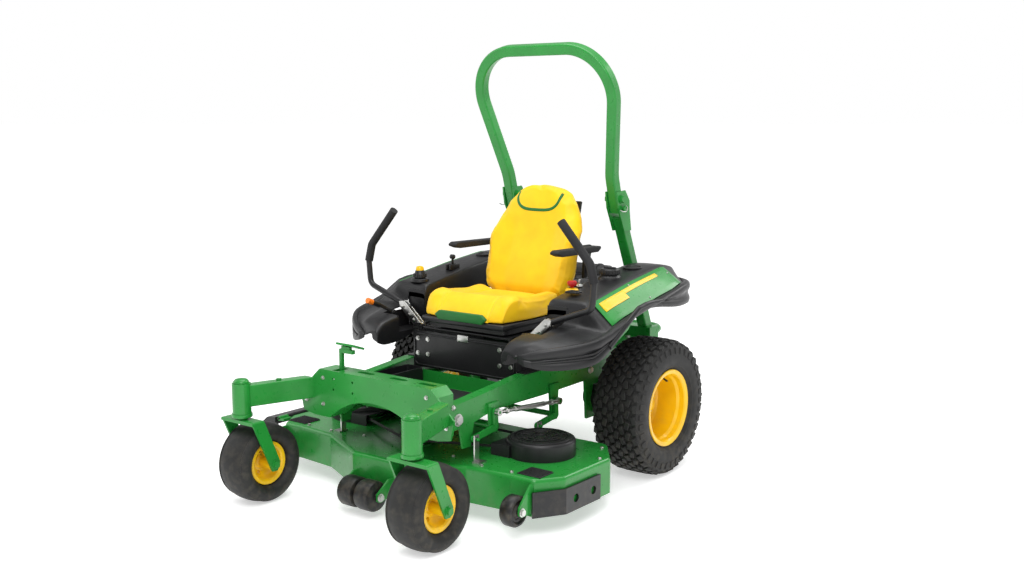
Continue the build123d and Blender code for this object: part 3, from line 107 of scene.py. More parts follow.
@dataclass(frozen=True)
class Finish:
    """One finish: its colour, how it varies, its gloss and its fine relief."""

    name: str
    colour: tuple[float, float, float]
    tint: tuple[float, float, float]
    roughness: float
    metallic: float = 0.0
    coat: float = 0.0
    sheen: float = 0.0
    specular: float = 0.35
    grain: Grain = Grain.NOISE
    grain_scale: float = 600.0
    grain_strength: float = 0.08
    grain_depth: float = 0.0004
    mottle_scale: float = 9.0
    roughness_swing: float = 0.1
    dust: float = 0.0
    dust_height: float = 0.35

    def build(self) -> bpy.types.Material:
        """Make the node material.

        Returns:
            The new material, with its patterns on Object coordinates.
        """
        material = bpy.data.materials.new(self.name)
        material.use_nodes = True
        tree = material.node_tree
        shader = tree.nodes["Principled BSDF"]
        shader.inputs["Metallic"].default_value = self.metallic
        shader.inputs["Coat Weight"].default_value = self.coat
        shader.inputs["Coat Roughness"].default_value = 0.12
        shader.inputs["Sheen Weight"].default_value = self.sheen
        shader.inputs["Specular IOR Level"].default_value = self.specular
        place = tree.nodes.new("ShaderNodeTexCoord").outputs["Object"]

        broad = self._noise(tree, place, self.mottle_scale, 5.0)
        tones = tree.nodes.new("ShaderNodeValToRGB")
        tones.color_ramp.elements[0].position = 0.32
        tones.color_ramp.elements[0].color = (*self.tint, 1)
        tones.color_ramp.elements[1].position = 0.72
        tones.color_ramp.elements[1].color = (*self.colour, 1)
        tree.links.new(broad, tones.inputs["Fac"])
        colour = tones.outputs["Color"]

        gloss = tree.nodes.new("ShaderNodeMapRange")
        gloss.inputs["To Min"].default_value = max(0.03, self.roughness - self.roughness_swing)
        gloss.inputs["To Max"].default_value = min(1.0, self.roughness + self.roughness_swing)
        tree.links.new(
            self._noise(tree, place, self.mottle_scale * 4.1, 6.0), gloss.inputs["Value"]
        )
        rough = gloss.outputs["Result"]

        if self.dust > 0:
            colour, rough = self._add_dust(tree, place, colour, rough)
        tree.links.new(colour, shader.inputs["Base Color"])
        tree.links.new(rough, shader.inputs["Roughness"])

        bump = tree.nodes.new("ShaderNodeBump")
        bump.inputs["Strength"].default_value = self.grain_strength
        bump.inputs["Distance"].default_value = self.grain_depth
        tree.links.new(self._relief(tree, place), bump.inputs["Height"])
        tree.links.new(bump.outputs["Normal"], shader.inputs["Normal"])
        return material

    @staticmethod
    def _noise(
        tree: bpy.types.NodeTree, place: bpy.types.NodeSocket, scale: float, detail: float
    ) -> bpy.types.NodeSocket:
        """Add a noise texture and return its factor.

        Args:
            tree: The material's node tree.
            place: The socket with the Object coordinates.
            scale: The texture's scale.
            detail: The texture's detail.

        Returns:
            The socket with the noise's factor.
        """
        noise = tree.nodes.new("ShaderNodeTexNoise")
        noise.inputs["Scale"].default_value = scale
        noise.inputs["Detail"].default_value = detail
        tree.links.new(place, noise.inputs["Vector"])
        return noise.outputs["Fac"]

    def _relief(
        self, tree: bpy.types.NodeTree, place: bpy.types.NodeSocket
    ) -> bpy.types.NodeSocket:
        """Add the fine relief of this finish and return its height.

        Args:
            tree: The material's node tree.
            place: The socket with the Object coordinates.

        Returns:
            The socket with the height.
        """
        if self.grain is Grain.CELLS:
            cells = tree.nodes.new("ShaderNodeTexVoronoi")
            cells.inputs["Scale"].default_value = self.grain_scale
            tree.links.new(place, cells.inputs["Vector"])
            return cells.outputs["Distance"]
        if self.grain is Grain.BRUSHED:
            stretch = tree.nodes.new("ShaderNodeMapping")
            stretch.inputs["Scale"].default_value = (1.0, 0.06, 1.0)
            tree.links.new(place, stretch.inputs["Vector"])
            return self._noise(tree, stretch.outputs["Vector"], self.grain_scale, 3.0)
        return self._noise(tree, place, self.grain_scale, 3.0)

    def _add_dust(
        self,
        tree: bpy.types.NodeTree,
        place: bpy.types.NodeSocket,
        colour: bpy.types.NodeSocket,
        rough: bpy.types.NodeSocket,
    ) -> tuple[bpy.types.NodeSocket, bpy.types.NodeSocket]:
        """Lay a thin broken film of dust on what is near the ground.

        Args:
            tree: The material's nodes.
            place: Object coordinates.
            colour: The colour so far.
            rough: The roughness so far.

        Returns:
            The colour and the roughness with the dust.
        """
        parts = tree.nodes.new("ShaderNodeSeparateXYZ")
        tree.links.new(place, parts.inputs["Vector"])
        low = tree.nodes.new("ShaderNodeMapRange")
        low.inputs["From Min"].default_value = self.dust_height
        low.inputs["From Max"].default_value = 0.0
        tree.links.new(parts.outputs["Z"], low.inputs["Value"])
        patches = tree.nodes.new("ShaderNodeMapRange")
        patches.inputs["From Min"].default_value = 0.46
        patches.inputs["From Max"].default_value = 0.72
        tree.links.new(self._noise(tree, place, 31.0, 8.0), patches.inputs["Value"])
        amount = tree.nodes.new("ShaderNodeMath")
        amount.operation = "MULTIPLY"
        tree.links.new(low.outputs["Result"], amount.inputs[0])
        tree.links.new(patches.outputs["Result"], amount.inputs[1])
        share = tree.nodes.new("ShaderNodeMath")
        share.operation = "MULTIPLY"
        share.inputs[1].default_value = self.dust
        tree.links.new(amount.outputs["Value"], share.inputs[0])
        film = tree.nodes.new("ShaderNodeMix")
        film.data_type = "RGBA"
        film.inputs["B"].default_value = (0.20, 0.17, 0.12, 1)
        tree.links.new(share.outputs["Value"], film.inputs["Factor"])
        tree.links.new(colour, film.inputs["A"])
        dull = tree.nodes.new("ShaderNodeMix")
        dull.inputs["B"].default_value = 0.85
        tree.links.new(share.outputs["Value"], dull.inputs["Factor"])
        tree.links.new(rough, dull.inputs["A"])
        return film.outputs["Result"], dull.outputs["Result"]


FINISHES = (
    Finish("green_paint", (0.016, 0.25, 0.034), (0.012, 0.205, 0.027), 0.3, coat=0.2,
           grain_scale=900, grain_strength=0.015, dust=0.3, dust_height=0.2),
    Finish("yellow_paint", (0.88, 0.54, 0.004), (0.8, 0.46, 0.004), 0.32, coat=0.2,
           grain_scale=900, grain_strength=0.015, dust=0.25),
    Finish("black_paint", (0.007, 0.007, 0.008), (0.011, 0.011, 0.012), 0.36, coat=0.12,
           grain_scale=900, grain_strength=0.12, dust=0.15),
    Finish("black_plastic", (0.006, 0.006, 0.007), (0.010, 0.010, 0.011), 0.4, specular=0.42,
           grain=Grain.CELLS, grain_scale=850, grain_strength=0.2, grain_depth=0.0003),
    Finish("zinc", (0.62, 0.62, 0.6), (0.54, 0.54, 0.52), 0.3, metallic=1.0, specular=0.5,
           grain=Grain.BRUSHED, grain_scale=500, grain_strength=0.08, mottle_scale=14,
           roughness_swing=0.05),
    Finish("dark_steel", (0.07, 0.07, 0.075), (0.035, 0.035, 0.037), 0.42, metallic=0.85,
           grain_scale=420, grain_strength=0.15, mottle_scale=30),
    Finish("cast_alloy", (0.4, 0.41, 0.42), (0.28, 0.29, 0.3), 0.5, metallic=0.9,
           grain=Grain.CELLS,
           grain_scale=500, grain_strength=0.3, mottle_scale=25),
    Finish("yellow_vinyl", (0.90, 0.56, 0.003), (0.84, 0.49, 0.003), 0.5, sheen=0.06, specular=0.3,
           grain=Grain.CELLS, grain_scale=620, grain_strength=0.25, grain_depth=0.0004,
           mottle_scale=14),
    Finish("black_foam", (0.009, 0.009, 0.010), (0.015, 0.015, 0.016), 0.7, grain=Grain.CELLS,
           grain_scale=1100, grain_strength=0.35),
    Finish("tyre", (0.010, 0.010, 0.010), (0.017, 0.017, 0.016), 0.62, grain_scale=380,
           grain_strength=0.2, dust=0.2, dust_height=0.5),
    Finish("roller_rubber", (0.006, 0.006, 0.007), (0.010, 0.010, 0.010), 0.4, grain_scale=420,
           grain_strength=0.2, dust=0.3),
    Finish("exhaust_steel", (0.3, 0.27, 0.24), (0.18, 0.15, 0.12), 0.45, metallic=1.0,
           grain_scale=200, grain_strength=0.15, mottle_scale=18),
    Finish("red_plastic", (0.5, 0.008, 0.008), (0.45, 0.007, 0.007), 0.3, coat=0.2),
    Finish("green_vinyl", (0.010, 0.15, 0.024), (0.008, 0.125, 0.02), 0.5, sheen=0.05,
           grain=Grain.CELLS, grain_scale=620, grain_strength=0.25),
    Finish("orange_plastic", (0.85, 0.2, 0.01), (0.8, 0.18, 0.01), 0.35, coat=0.2),
    Finish("dark_gap", (0.004, 0.004, 0.004), (0.006, 0.006, 0.006), 0.8),
)


class Workshop:
    """The maker's bench: modelling by operators, and hanging pieces on the frame's bodies."""

    def __init__(self) -> None:
        """Load the frame, find the machine's own origin in it and make the finishes."""
        self.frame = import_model()
        self.cad_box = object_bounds()
        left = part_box("rear_tyre_left")
        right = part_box("rear_tyre_right")
        self.origin = Vector(
            ((left[0].x + right[1].x) / 2, (left[0].y + left[1].y) / 2, 0.0)
        )
        self.materials = {finish.name: finish.build() for finish in FINISHES}
        for entry in self.frame["record"]["subparts"]:
            node = self.frame["nodes"][entry["node"]]
            self.paint(node, entry["material_slot"])
            self.shade(node, 32.0)
        log.info("frame loaded with %d nodes", len(self.frame["nodes"]))

    # ------------------------------------------------------------ selection and finishing
    def at(self, x: float, y: float, z: float) -> Vector:
        """Turn a place in the machine's frame into one in the scene."""
        return Vector((x, y, z)) + self.origin

    @staticmethod
    def only(*objects: bpy.types.Object) -> None:
        """Select these objects and no other, and make the last one active.

        Args:
            *objects: The objects to select.
        """
        bpy.ops.object.select_all(action="DESELECT")
        for one in objects:
            one.select_set(True)
        bpy.context.view_layer.objects.active = objects[-1]

    def paint(self, piece: bpy.types.Object, finish: str) -> None:
        """Give a piece one finish all over.

        Args:
            piece: The piece.
            finish: The finish's name.
        """
        material = self.materials[finish]
        if not piece.material_slots:
            piece.data.materials.append(material)
        for holder in piece.material_slots:
            holder.material = material

    def shade(self, piece: bpy.types.Object, angle: float = 35.0) -> None:
        """Shade smoothly, apart from edges sharper than an angle in degrees.

        Args:
            piece: The piece.
            angle: The sharpest angle that is still smooth, in degrees.
        """
        hidden = piece.hide_get()
        piece.hide_set(False)
        self.only(piece)
        bpy.ops.object.shade_smooth_by_angle(angle=math.radians(angle))
        piece.hide_set(hidden)

    def bevel(
        self, piece: bpy.types.Object, width: float, segments: int = 3, angle: float = 30.0
    ) -> None:
        """Round a piece's sharp edges.

        Args:
            piece: The piece.
            width: The bevel's width in metres.
            segments: How many segments round it.
            angle: The least sharp angle to round, in degrees.
        """
        self.only(piece)
        modifier = piece.modifiers.new("round", "BEVEL")
        modifier.width = width
        modifier.segments = segments
        modifier.limit_method = "ANGLE"
        modifier.angle_limit = math.radians(angle)
        modifier.harden_normals = False
        bpy.ops.object.modifier_apply(modifier=modifier.name)

    def smooth(self, piece: bpy.types.Object, levels: int) -> None:
        """Apply a subdivision surface.

        Args:
            piece: The piece.
            levels: How many times it is subdivided.
        """
        self.only(piece)
        modifier = piece.modifiers.new("smooth", "SUBSURF")
        modifier.levels = modifier.render_levels = levels
        bpy.ops.object.modifier_apply(modifier=modifier.name)

    def thicken(self, piece: bpy.types.Object, thickness: float, offset: float = -1.0) -> None:
        """Give a sheet its wall, of the same depth along each point's normal.

        Args:
            piece: The sheet.
            thickness: The wall in metres.
            offset: -1 for a wall inside the sheet, 1 for one outside.
        """
        self.only(piece)
        modifier = piece.modifiers.new("wall", "SOLIDIFY")
        modifier.thickness = thickness
        modifier.offset = offset
        modifier.use_even_offset = False
        bpy.ops.object.modifier_apply(modifier=modifier.name)

    def cut(self, piece: bpy.types.Object, *tools: bpy.types.Object) -> None:
        """Take the shapes of other objects out of a piece, and remove those objects.

        Args:
            piece: The piece that is cut.
            *tools: The objects whose shapes are taken out.
        """
        for tool in tools:
            self.only(piece)
            modifier = piece.modifiers.new("cut", "BOOLEAN")
            modifier.object = tool
            modifier.operation = "DIFFERENCE"
            modifier.solver = "EXACT"
            bpy.ops.object.modifier_apply(modifier=modifier.name)
            bpy.data.objects.remove(tool)

    def tidy(self, piece: bpy.types.Object) -> None:
        """Merge doubles and turn every face outwards.

        Args:
            piece: The piece.
        """
        self.only(piece)
        bpy.ops.object.mode_set(mode="EDIT")
        bpy.ops.mesh.select_all(action="SELECT")
        bpy.ops.mesh.remove_doubles(threshold=0.00002)
        bpy.ops.mesh.normals_make_consistent(inside=False)
        bpy.ops.object.mode_set(mode="OBJECT")

    def settle(self, piece: bpy.types.Object) -> None:
        """Put a piece's place into its mesh, so that its object stands at the origin."""
        self.only(piece)
        bpy.ops.object.transform_apply(location=True, rotation=True, scale=True)

    def join(self, name: str, pieces: list[bpy.types.Object]) -> bpy.types.Object:
        """Make one object of several.

        Args:
            name: The joined piece's name.
            pieces: The objects to join.

        Returns:
            The joined piece.
        """
        self.only(*pieces)
        if len(pieces) > 1:
            bpy.ops.object.join()
        joined = bpy.context.view_layer.objects.active
        joined.name = name
        return joined

    def deliver(
        self,
        piece: bpy.types.Object,
        body: str,
        finish: str,
        slot: str | None = None,
        replaces: tuple[str, ...] = (),
        angle: float = 35.0,
    ) -> bpy.types.Object:
        """Dress a finished piece and hang it on its body.

        Args:
            piece: The piece, with its place in its mesh.
            body: The frame's body that it moves with.
            finish: The name of its finish.
            slot: The record's material slot, if it isn't the finish's own name; not used.
            replaces: The frame's nodes that it stands for.
            angle: Edges sharper than this stay sharp, in degrees.

        Returns:
            The same piece.
        """
        self.settle(piece)
        self.shade(piece, angle)
        self.paint(piece, finish)
        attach(piece, body)
        if replaces:
            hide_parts(*replaces)
        log.info("%s rides on %s", piece.name, body)
        return piece

    # ------------------------------------------------------------ shapes
    def block(self, name: str, low: Point, high: Point, round_to: float = 0.0) -> bpy.types.Object:
        """Model a block between two corners, with rounded edges.

        Args:
            name: The piece's name.
            low: One corner.
            high: The opposite corner.
            round_to: The width of the rounded edges.

        Returns:
            The block.
        """
        a, b = self.at(*low), self.at(*high)
        bpy.ops.mesh.primitive_cube_add(
            size=1, location=(a + b) / 2, scale=tuple(abs(v) for v in (b - a))
        )
        piece = bpy.context.active_object
        piece.name = name
        self.settle(piece)
        if round_to > 0:
            self.bevel(piece, round_to)
        return piece

    def rod(self, name: str, start: Point, end: Point, radius: float, round_to: float = 0.0,
            sides: int = 40) -> bpy.types.Object:
        """Model a round bar between two points, with rounded rims.

        Args:
            name: The piece's name.
            start: The middle of one end.
            end: The middle of the other end.
            radius: The bar's radius.
            round_to: The width of the rounded rims.
            sides: How many sides it has round it.

        Returns:
            The bar.
        """
        a, b = self.at(*start), self.at(*end)
        line = b - a
        bpy.ops.mesh.primitive_cylinder_add(
            vertices=sides, radius=radius, depth=line.length, location=(a + b) / 2,
            rotation=line.to_track_quat("Z", "Y").to_euler(),
        )
        piece = bpy.context.active_object
        piece.name = name
        self.settle(piece)
        if round_to > 0:
            self.bevel(piece, round_to, angle=50)
        return piece

    def prism(self, name: str, outline: list[Point], push: Point, round_to: float = 0.0,
              segments: int = 3) -> bpy.types.Object:
        """Model a plate: an outline of points, extruded along a vector.

        Args:
            name: The piece's name.
            outline: The points round one face.
            push: The way to the other face.
            round_to: The width of the rounded edges.
            segments: How many segments round an edge.

        Returns:
            The plate.
        """
        bpy.ops.mesh.primitive_circle_add(vertices=len(outline), fill_type="NGON")
        piece = bpy.context.active_object
        piece.name = name
        for vertex, place in zip(piece.data.vertices, outline):
            vertex.co = self.at(*place)
        bpy.ops.object.mode_set(mode="EDIT")
        bpy.ops.mesh.select_all(action="SELECT")
        bpy.ops.mesh.extrude_region_move(TRANSFORM_OT_translate={"value": push})
        bpy.ops.object.mode_set(mode="OBJECT")
        self.tidy(piece)
        if round_to > 0:
            self.bevel(piece, round_to, segments)
        return piece

    def lathe(self, name: str, centre: Point, axis: Point, profile: list[tuple[float, float]],
              steps: int = 96) -> bpy.types.Object:
        """Model a turned piece by spinning a closed profile.

        Args:
            name: The piece's name.
            centre: A point on the axis.
            axis: The direction of the axis.
            profile: Points (along the axis, out from it), in order round the section.
            steps: How many steps make the turn.

        Returns:
            The turned piece.
        """
        along = Vector(axis).normalized()
        outwards = along.orthogonal().normalized()
        middle = self.at(*centre)
        bpy.ops.mesh.primitive_circle_add(vertices=len(profile), fill_type="NOTHING")
        piece = bpy.context.active_object
        piece.name = name
        for vertex, (reach, radius) in zip(piece.data.vertices, profile):
            vertex.co = middle + along * reach + outwards * radius
        bpy.ops.object.mode_set(mode="EDIT")
        bpy.ops.mesh.select_all(action="SELECT")
        bpy.ops.mesh.spin(steps=steps, angle=math.tau, center=middle, axis=along)
        bpy.ops.object.mode_set(mode="OBJECT")
        self.tidy(piece)
        return piece

    @staticmethod
    def rounded(points: list[Vector], radius: float, steps: int = 8) -> list[Vector]:
        """Round the corners of a bar's path with arcs of one radius.

        Args:
            points: The corners of the path.
            radius: The radius of every bend.
            steps: How many steps a bend has.

        Returns:
            The points of the rounded path.
        """
        path = [points[0]]
        for before, corner, after in zip(points, points[1:], points[2:]):
            back, on = (before - corner), (after - corner)
            turn = back.angle(on)
            reach = min(radius / math.tan(turn / 2), back.length * 0.49, on.length * 0.49)
            start, stop = corner + back.normalized() * reach, corner + on.normalized() * reach
            for step in range(steps + 1):
                share = step / steps
                path.append(
                    start * (1 - share) ** 2 + corner * 2 * share * (1 - share) + stop * share ** 2
                )
        return path + [points[-1]]

    def tube(self, name: str, places: list[Point], radius: float, bend: float = 0.03,
             closed_ends: bool = True) -> bpy.types.Object:
        """Model a bent bar of round section along straight runs.

        Args:
            name: The piece's name.
            places: The corners of the bar's path.
            radius: The bar's radius.
            bend: The radius of its bends.
            closed_ends: Whether its ends are closed.

        Returns:
            The bar.
        """
        path = self.rounded([self.at(*place) for place in places], bend) if len(places) > 2 else [
            self.at(*place) for place in places
        ]
        curve = bpy.data.curves.new(name, "CURVE")
        curve.dimensions = "3D"
        curve.bevel_depth = radius
        curve.bevel_resolution = 6
        curve.use_fill_caps = closed_ends
        spline = curve.splines.new("POLY")
        spline.points.add(len(path) - 1)
        for point, place in zip(spline.points, path):
            point.co = (*place, 1)
        piece = bpy.data.objects.new(name, curve)
        bpy.context.collection.objects.link(piece)
        self.only(piece)
        bpy.ops.object.convert(target="MESH")
        piece = bpy.context.active_object
        piece.name = name
        return piece

    def bolt(self, name: str, point: Point, axis: Point, size: float) -> bpy.types.Object:
        """Model a flanged hexagon bolt head that stands on a point.

        Args:
            name: The piece's name.
            point: Where the flange sits.
            axis: The way that the head points.
            size: The head's radius, about.

        Returns:
            The bolt head.
        """
        direction = Vector(axis).normalized()
        flange, seat, top = (
            tuple(Vector(point) + direction * (size * share)) for share in (0.18, 0.17, 0.9)
        )
        washer = self.rod(name, point, flange, size * 1.15, size * 0.06, sides=28)
        head = self.rod(name, seat, top, size * 0.92, size * 0.1, sides=6)
        return self.join(name, [washer, head])

    def scatter(
        self, name: str, template: bpy.types.Object, turns: list[Matrix]
    ) -> bpy.types.Object:
        """Copy a small shape to many places in one mesh, and remove the shape.

        Args:
            name: The name of the new piece.
            template: The shape, modelled round the scene's origin.
            turns: One matrix for each copy.

        Returns:
            The piece that holds all the copies.
        """
        corners = [vertex.co.copy() for vertex in template.data.vertices]
        faces = [tuple(face.vertices) for face in template.data.polygons]
        points, rings = [], []
        for turn in turns:
            start = len(points)
            points.extend(turn @ corner for corner in corners)
            rings.extend(tuple(index + start for index in face) for face in faces)
        mesh = bpy.data.meshes.new(name)
        mesh.from_pydata(points, [], rings)
        piece = bpy.data.objects.new(name, mesh)
        bpy.context.collection.objects.link(piece)
        bpy.data.objects.remove(template)
        return piece

    def loft(self, name: str, rings: list[list[Vector]], closed: bool = False,
             capped: bool = False) -> bpy.types.Object:
        """Model a skin over a row of sections with the same number of points.

        Args:
            name: The piece's name.
            rings: The sections, in order.
            closed: Whether each section is a closed ring.
            capped: Whether the first and last section are filled.

        Returns:
            The skin.
        """
        count = len(rings[0])
        points = [place for ring in rings for place in ring]
        spans = count if closed else count - 1
        faces = [
            (row * count + k, row * count + (k + 1) % count,
             (row + 1) * count + (k + 1) % count, (row + 1) * count + k)
            for row in range(len(rings) - 1)
            for k in range(spans)
        ]
        if capped:
            faces.append(tuple(range(count)))
            faces.append(tuple(range((len(rings) - 1) * count, len(rings) * count)))
        mesh = bpy.data.meshes.new(name)
        mesh.from_pydata(points, [], faces)
        piece = bpy.data.objects.new(name, mesh)
        bpy.context.collection.objects.link(piece)
        self.tidy(piece)
        return piece

    def inflate(self, piece: bpy.types.Object, cap: float, voxel: float = 0.006,
                hold_below: float | None = None) -> None:
        """Swell a stuffed form by a short cloth simulation.

        Args:
            piece: The form, a little smaller than the cushion.
            cap: The furthest that a point may move.
            voxel: The size of the remesh.
            hold_below: Points below this height stay where they are.
        """
        self.only(piece)
        piece.data.remesh_voxel_size = voxel
        bpy.ops.object.voxel_remesh()
        rest = np.empty(len(piece.data.vertices) * 3)
        piece.data.vertices.foreach_get("co", rest)
        rest = rest.reshape(-1, 3)
        cloth = piece.modifiers.new("cloth", "CLOTH")
        cloth.settings.use_pressure = True
        cloth.settings.uniform_pressure_force = 4.0
        cloth.settings.effector_weights.gravity = 0.0
        cloth.settings.mass = 0.4
        cloth.settings.tension_stiffness = 22.0
        if hold_below is not None:
            group = piece.vertex_groups.new(name="hold")
            group.add(
                [int(i) for i in np.flatnonzero(rest[:, 2] < hold_below)], 1.0, "REPLACE"
            )
            cloth.settings.vertex_group_mass = "hold"
        scene = bpy.context.scene
        for moment in range(1, 21):
            scene.frame_set(moment)
        shaped = piece.evaluated_get(bpy.context.evaluated_depsgraph_get()).data
        grown = np.empty(len(rest) * 3)
        shaped.vertices.foreach_get("co", grown)
        step = grown.reshape(-1, 3) - rest
        length = np.linalg.norm(step, axis=1, keepdims=True)
        step *= np.minimum(1.0, cap / np.maximum(length, 1e-9))
        piece.modifiers.remove(cloth)
        piece.data.vertices.foreach_set("co", (rest + step).ravel())
        piece.vertex_groups.clear()
        scene.frame_set(1)
        relax = piece.modifiers.new("relax", "SMOOTH")
        relax.factor = 0.5
        relax.iterations = 4
        self.only(piece)
        bpy.ops.object.modifier_apply(modifier=relax.name)
        self.smooth(piece, 1)


@dataclass
class RunningGear:
    """The tyres and rims of the drive wheels and the casters."""

    shop: Workshop
    rear_x: float = 0.602
    rear_radius: float = 0.303
    rear_half: float = 0.1205
    rim_radius: float = 0.1524
    block_rows: int = 8
    blocks_round: int = 38
    caster: Point = (0.465, -1.324, 0.165)
    caster_half: float = 0.0825
    caster_rim: float = 0.0762

    def build(self) -> None:
        """Model and hang every wheel."""
        for name, sign in (("left", 1), ("right", -1)):
            self._rear_tyre(name, sign)
            self._rear_rim(name, sign)
            self._caster_tyre(name, sign)
            self._caster_rim(name, sign)

    def _crown(self, reach: float) -> float:
        """Return the tread's radius at a distance from the middle of the tyre.

        Args:
            reach: The distance from the tyre's middle.

        Returns:
            The radius.
        """
        share = min(1.0, abs(reach) / self.rear_half)
        shoulder = max(0.0, share - 0.86)
        return self.rear_radius - 0.0125 - 0.012 * share ** 3 - 0.033 * shoulder / 0.14

    def _rear_tyre(self, name: str, sign: int) -> None:
        """Model a turf tyre: carcass, shoulder lugs and staggered rows of tread blocks.

        Args:
            name: The side, "left" or "right".
            sign: 1 on the operator's left, -1 on the right.
        """
        shop = self.shop
        centre = (sign * self.rear_x, 0.0, self.rear_radius)
        half, bead = self.rear_half - 0.002, self.rim_radius + 0.0006
        outside = [
            (-0.095, bead), (-0.097, bead + 0.02), (-0.107, bead + 0.030), (-0.113, bead + 0.036),
            (-0.1135, bead + 0.042), (-0.117, bead + 0.048), (-half, bead + 0.068),
            (-half, bead + 0.084),
            (-half + 0.002, bead + 0.10), (-half + 0.006, bead + 0.118),
            (-half + 0.014, bead + 0.130),
        ]
        tread = [(reach, self._crown(reach)) for reach in np.linspace(-0.098, 0.098, 13)]
        inside = [(0.085, bead + 0.03), (0.1, bead + 0.08), (0.08, bead + 0.115),
                  (-0.08, bead + 0.115),
                  (-0.1, bead + 0.08), (-0.085, bead + 0.03), (-0.078, bead)]
        mirrored = [(-a, r) for a, r in reversed(outside)]
        profile = outside + tread + mirrored + [(0.078, bead)] + inside
        carcass = shop.lathe("carcass", centre, (1, 0, 0), profile, 120)
        bpy.ops.mesh.primitive_cube_add(size=1, location=(0, 0, 0), scale=(0.0228, 0.037, 0.014))
        block = bpy.context.active_object
        shop.settle(block)
        for vertex in block.data.vertices:
            if vertex.co.z > 0:
                vertex.co.x *= 0.88
                vertex.co.y *= 0.88
        shop.bevel(block, 0.0016, 1)
        middle = shop.at(*centre)
        turns = []
        for row in range(self.block_rows):
            reach = (row - (self.block_rows - 1) / 2) * 0.0275
            edge = abs(reach) / self.rear_half
            radius = self._crown(reach) + (0.0055 if edge < 0.7 else 0.0015)
            lean = 0.0 if edge < 0.7 else math.copysign(0.3, reach)
            skew = 0.28 * (1 if row % 2 else -1)
            for step in range(self.blocks_round):
                angle = math.tau * (step + (0.5 if row % 2 else 0.0)) / self.blocks_round
                turns.append(
                    Matrix.Translation(middle)
                    @ Matrix.Rotation(angle, 4, "X")
                    @ Matrix.Translation((reach, 0, radius))
                    @ Matrix.Rotation(lean, 4, "Y")
                    @ Matrix.Rotation(skew, 4, "Z")
                )
        blocks = shop.scatter("blocks", block, turns)
        bpy.ops.mesh.primitive_cube_add(size=1, location=(0, 0, 0), scale=(0.009, 0.024, 0.030))
        lug = bpy.context.active_object
        shop.settle(lug)
        shop.bevel(lug, 0.002, 1)
        turns = []
        for side in (-1, 1):
            for step in range(self.blocks_round):
                angle = math.tau * (step + 0.25) / self.blocks_round
                turns.append(
                    Matrix.Translation(middle)
                    @ Matrix.Rotation(angle, 4, "X")
                    @ Matrix.Translation((side * (half - 0.0035), 0, self.rear_radius - 0.047))
                    @ Matrix.Rotation(-side * 0.14, 4, "Y")
                )
        lugs = shop.scatter("lugs", lug, turns)
        tyre = shop.join(f"turf_tyre_{name}", [blocks, lugs, carcass])
        shop.deliver(tyre, f"rear_wheel_{name}", "tyre", replaces=(f"rear_tyre_{name}",))

    def _rear_rim(self, name: str, sign: int) -> None:
        """Model a deep dished rim with its hub, nuts, hand holes and valve.

        Args:
            name: The side, "left" or "right".
            sign: 1 on the operator's left, -1 on the right.
        """
        shop = self.shop
        centre = (sign * self.rear_x, 0.0, self.rear_radius)
        r = self.rim_radius
        profile = [
            (-0.103, r + 0.014), (-0.101, r + 0.0175), (-0.098, r + 0.0175), (-0.0965, r + 0.013),
            (-0.095, r - 0.0005), (-0.07, r - 0.001), (-0.05, r - 0.009), (0.056, r - 0.009),
            (0.07, r - 0.001),
            (0.095, r - 0.0005), (0.0965, r + 0.014), (0.099, r + 0.0185), (0.1025, r + 0.0175),
            (0.1035, r + 0.014), (0.1, r - 0.001), (0.094, r - 0.005), (0.072, r - 0.006),
            (0.06, r - 0.014),
            (-0.02, r - 0.015), (-0.032, r - 0.02), (-0.041, r - 0.034), (-0.036, r - 0.05),
            (-0.022, r - 0.068),
            (-0.02, r - 0.084), (-0.026, r - 0.1), (-0.026, 0.02), (-0.032, 0.02),
            (-0.032, r - 0.098),
            (-0.026, r - 0.084), (-0.028, r - 0.066), (-0.042, r - 0.048), (-0.047, r - 0.032),
            (-0.055, r - 0.018), (-0.094, r - 0.006), (-0.1, r - 0.001),
        ]
        outward = [(sign * reach, radius) for reach, radius in profile]
        rim = shop.lathe("rim", centre, (1, 0, 0), outward, 112)
        shop.tidy(rim)
        holes = []
        for step in range(8):
            angle = math.tau * (step + 0.5) / 8
            y, z = 0.105 * math.cos(angle), self.rear_radius + 0.105 * math.sin(angle)
            x = sign * self.rear_x
            holes.append(
                shop.rod("hole", (x - sign * 0.06, y, z), (x + sign * 0.01, y, z), 0.009, sides=24)
            )
        shop.cut(rim, *holes)
        hub = shop.lathe("hub", centre, (1, 0, 0), [
            (sign * a, q) for a, q in (
                (-0.03, 0.0), (-0.03, 0.047), (-0.012, 0.047), (-0.008, 0.043), (-0.008, 0.03),
                (0.006, 0.028),
                (0.014, 0.024), (0.018, 0.014), (0.0185, 0.0),
            )
        ], 48)
        stem = shop.tube("valve", [
            (sign * (self.rear_x + 0.062), 0.0, self.rear_radius + r - 0.013),
            (sign * (self.rear_x + 0.074), 0.0, self.rear_radius + r - 0.026),
            (sign * (self.rear_x + 0.092), 0.0, self.rear_radius + r - 0.034),
        ], 0.0042, 0.008)
        rim = shop.join(f"drive_rim_{name}", [hub, rim])
        shop.deliver(
            rim, f"rear_wheel_{name}", "yellow_paint", replaces=(f"rear_rim_{name}",), angle=28
        )
        stem.name = f"valve_{name}"
        shop.deliver(stem, f"rear_wheel_{name}", "black_foam")
        nuts = []
        for step in range(5):
            angle = math.tau * step / 5 + 0.3
            y, z = 0.037 * math.cos(angle), self.rear_radius + 0.037 * math.sin(angle)
            nuts.append(
                shop.bolt("nut", (sign * (self.rear_x - 0.008), y, z), (sign, 0, 0), 0.009)
            )
        shop.deliver(shop.join(f"wheel_nuts_{name}", nuts), f"rear_wheel_{name}", "zinc")

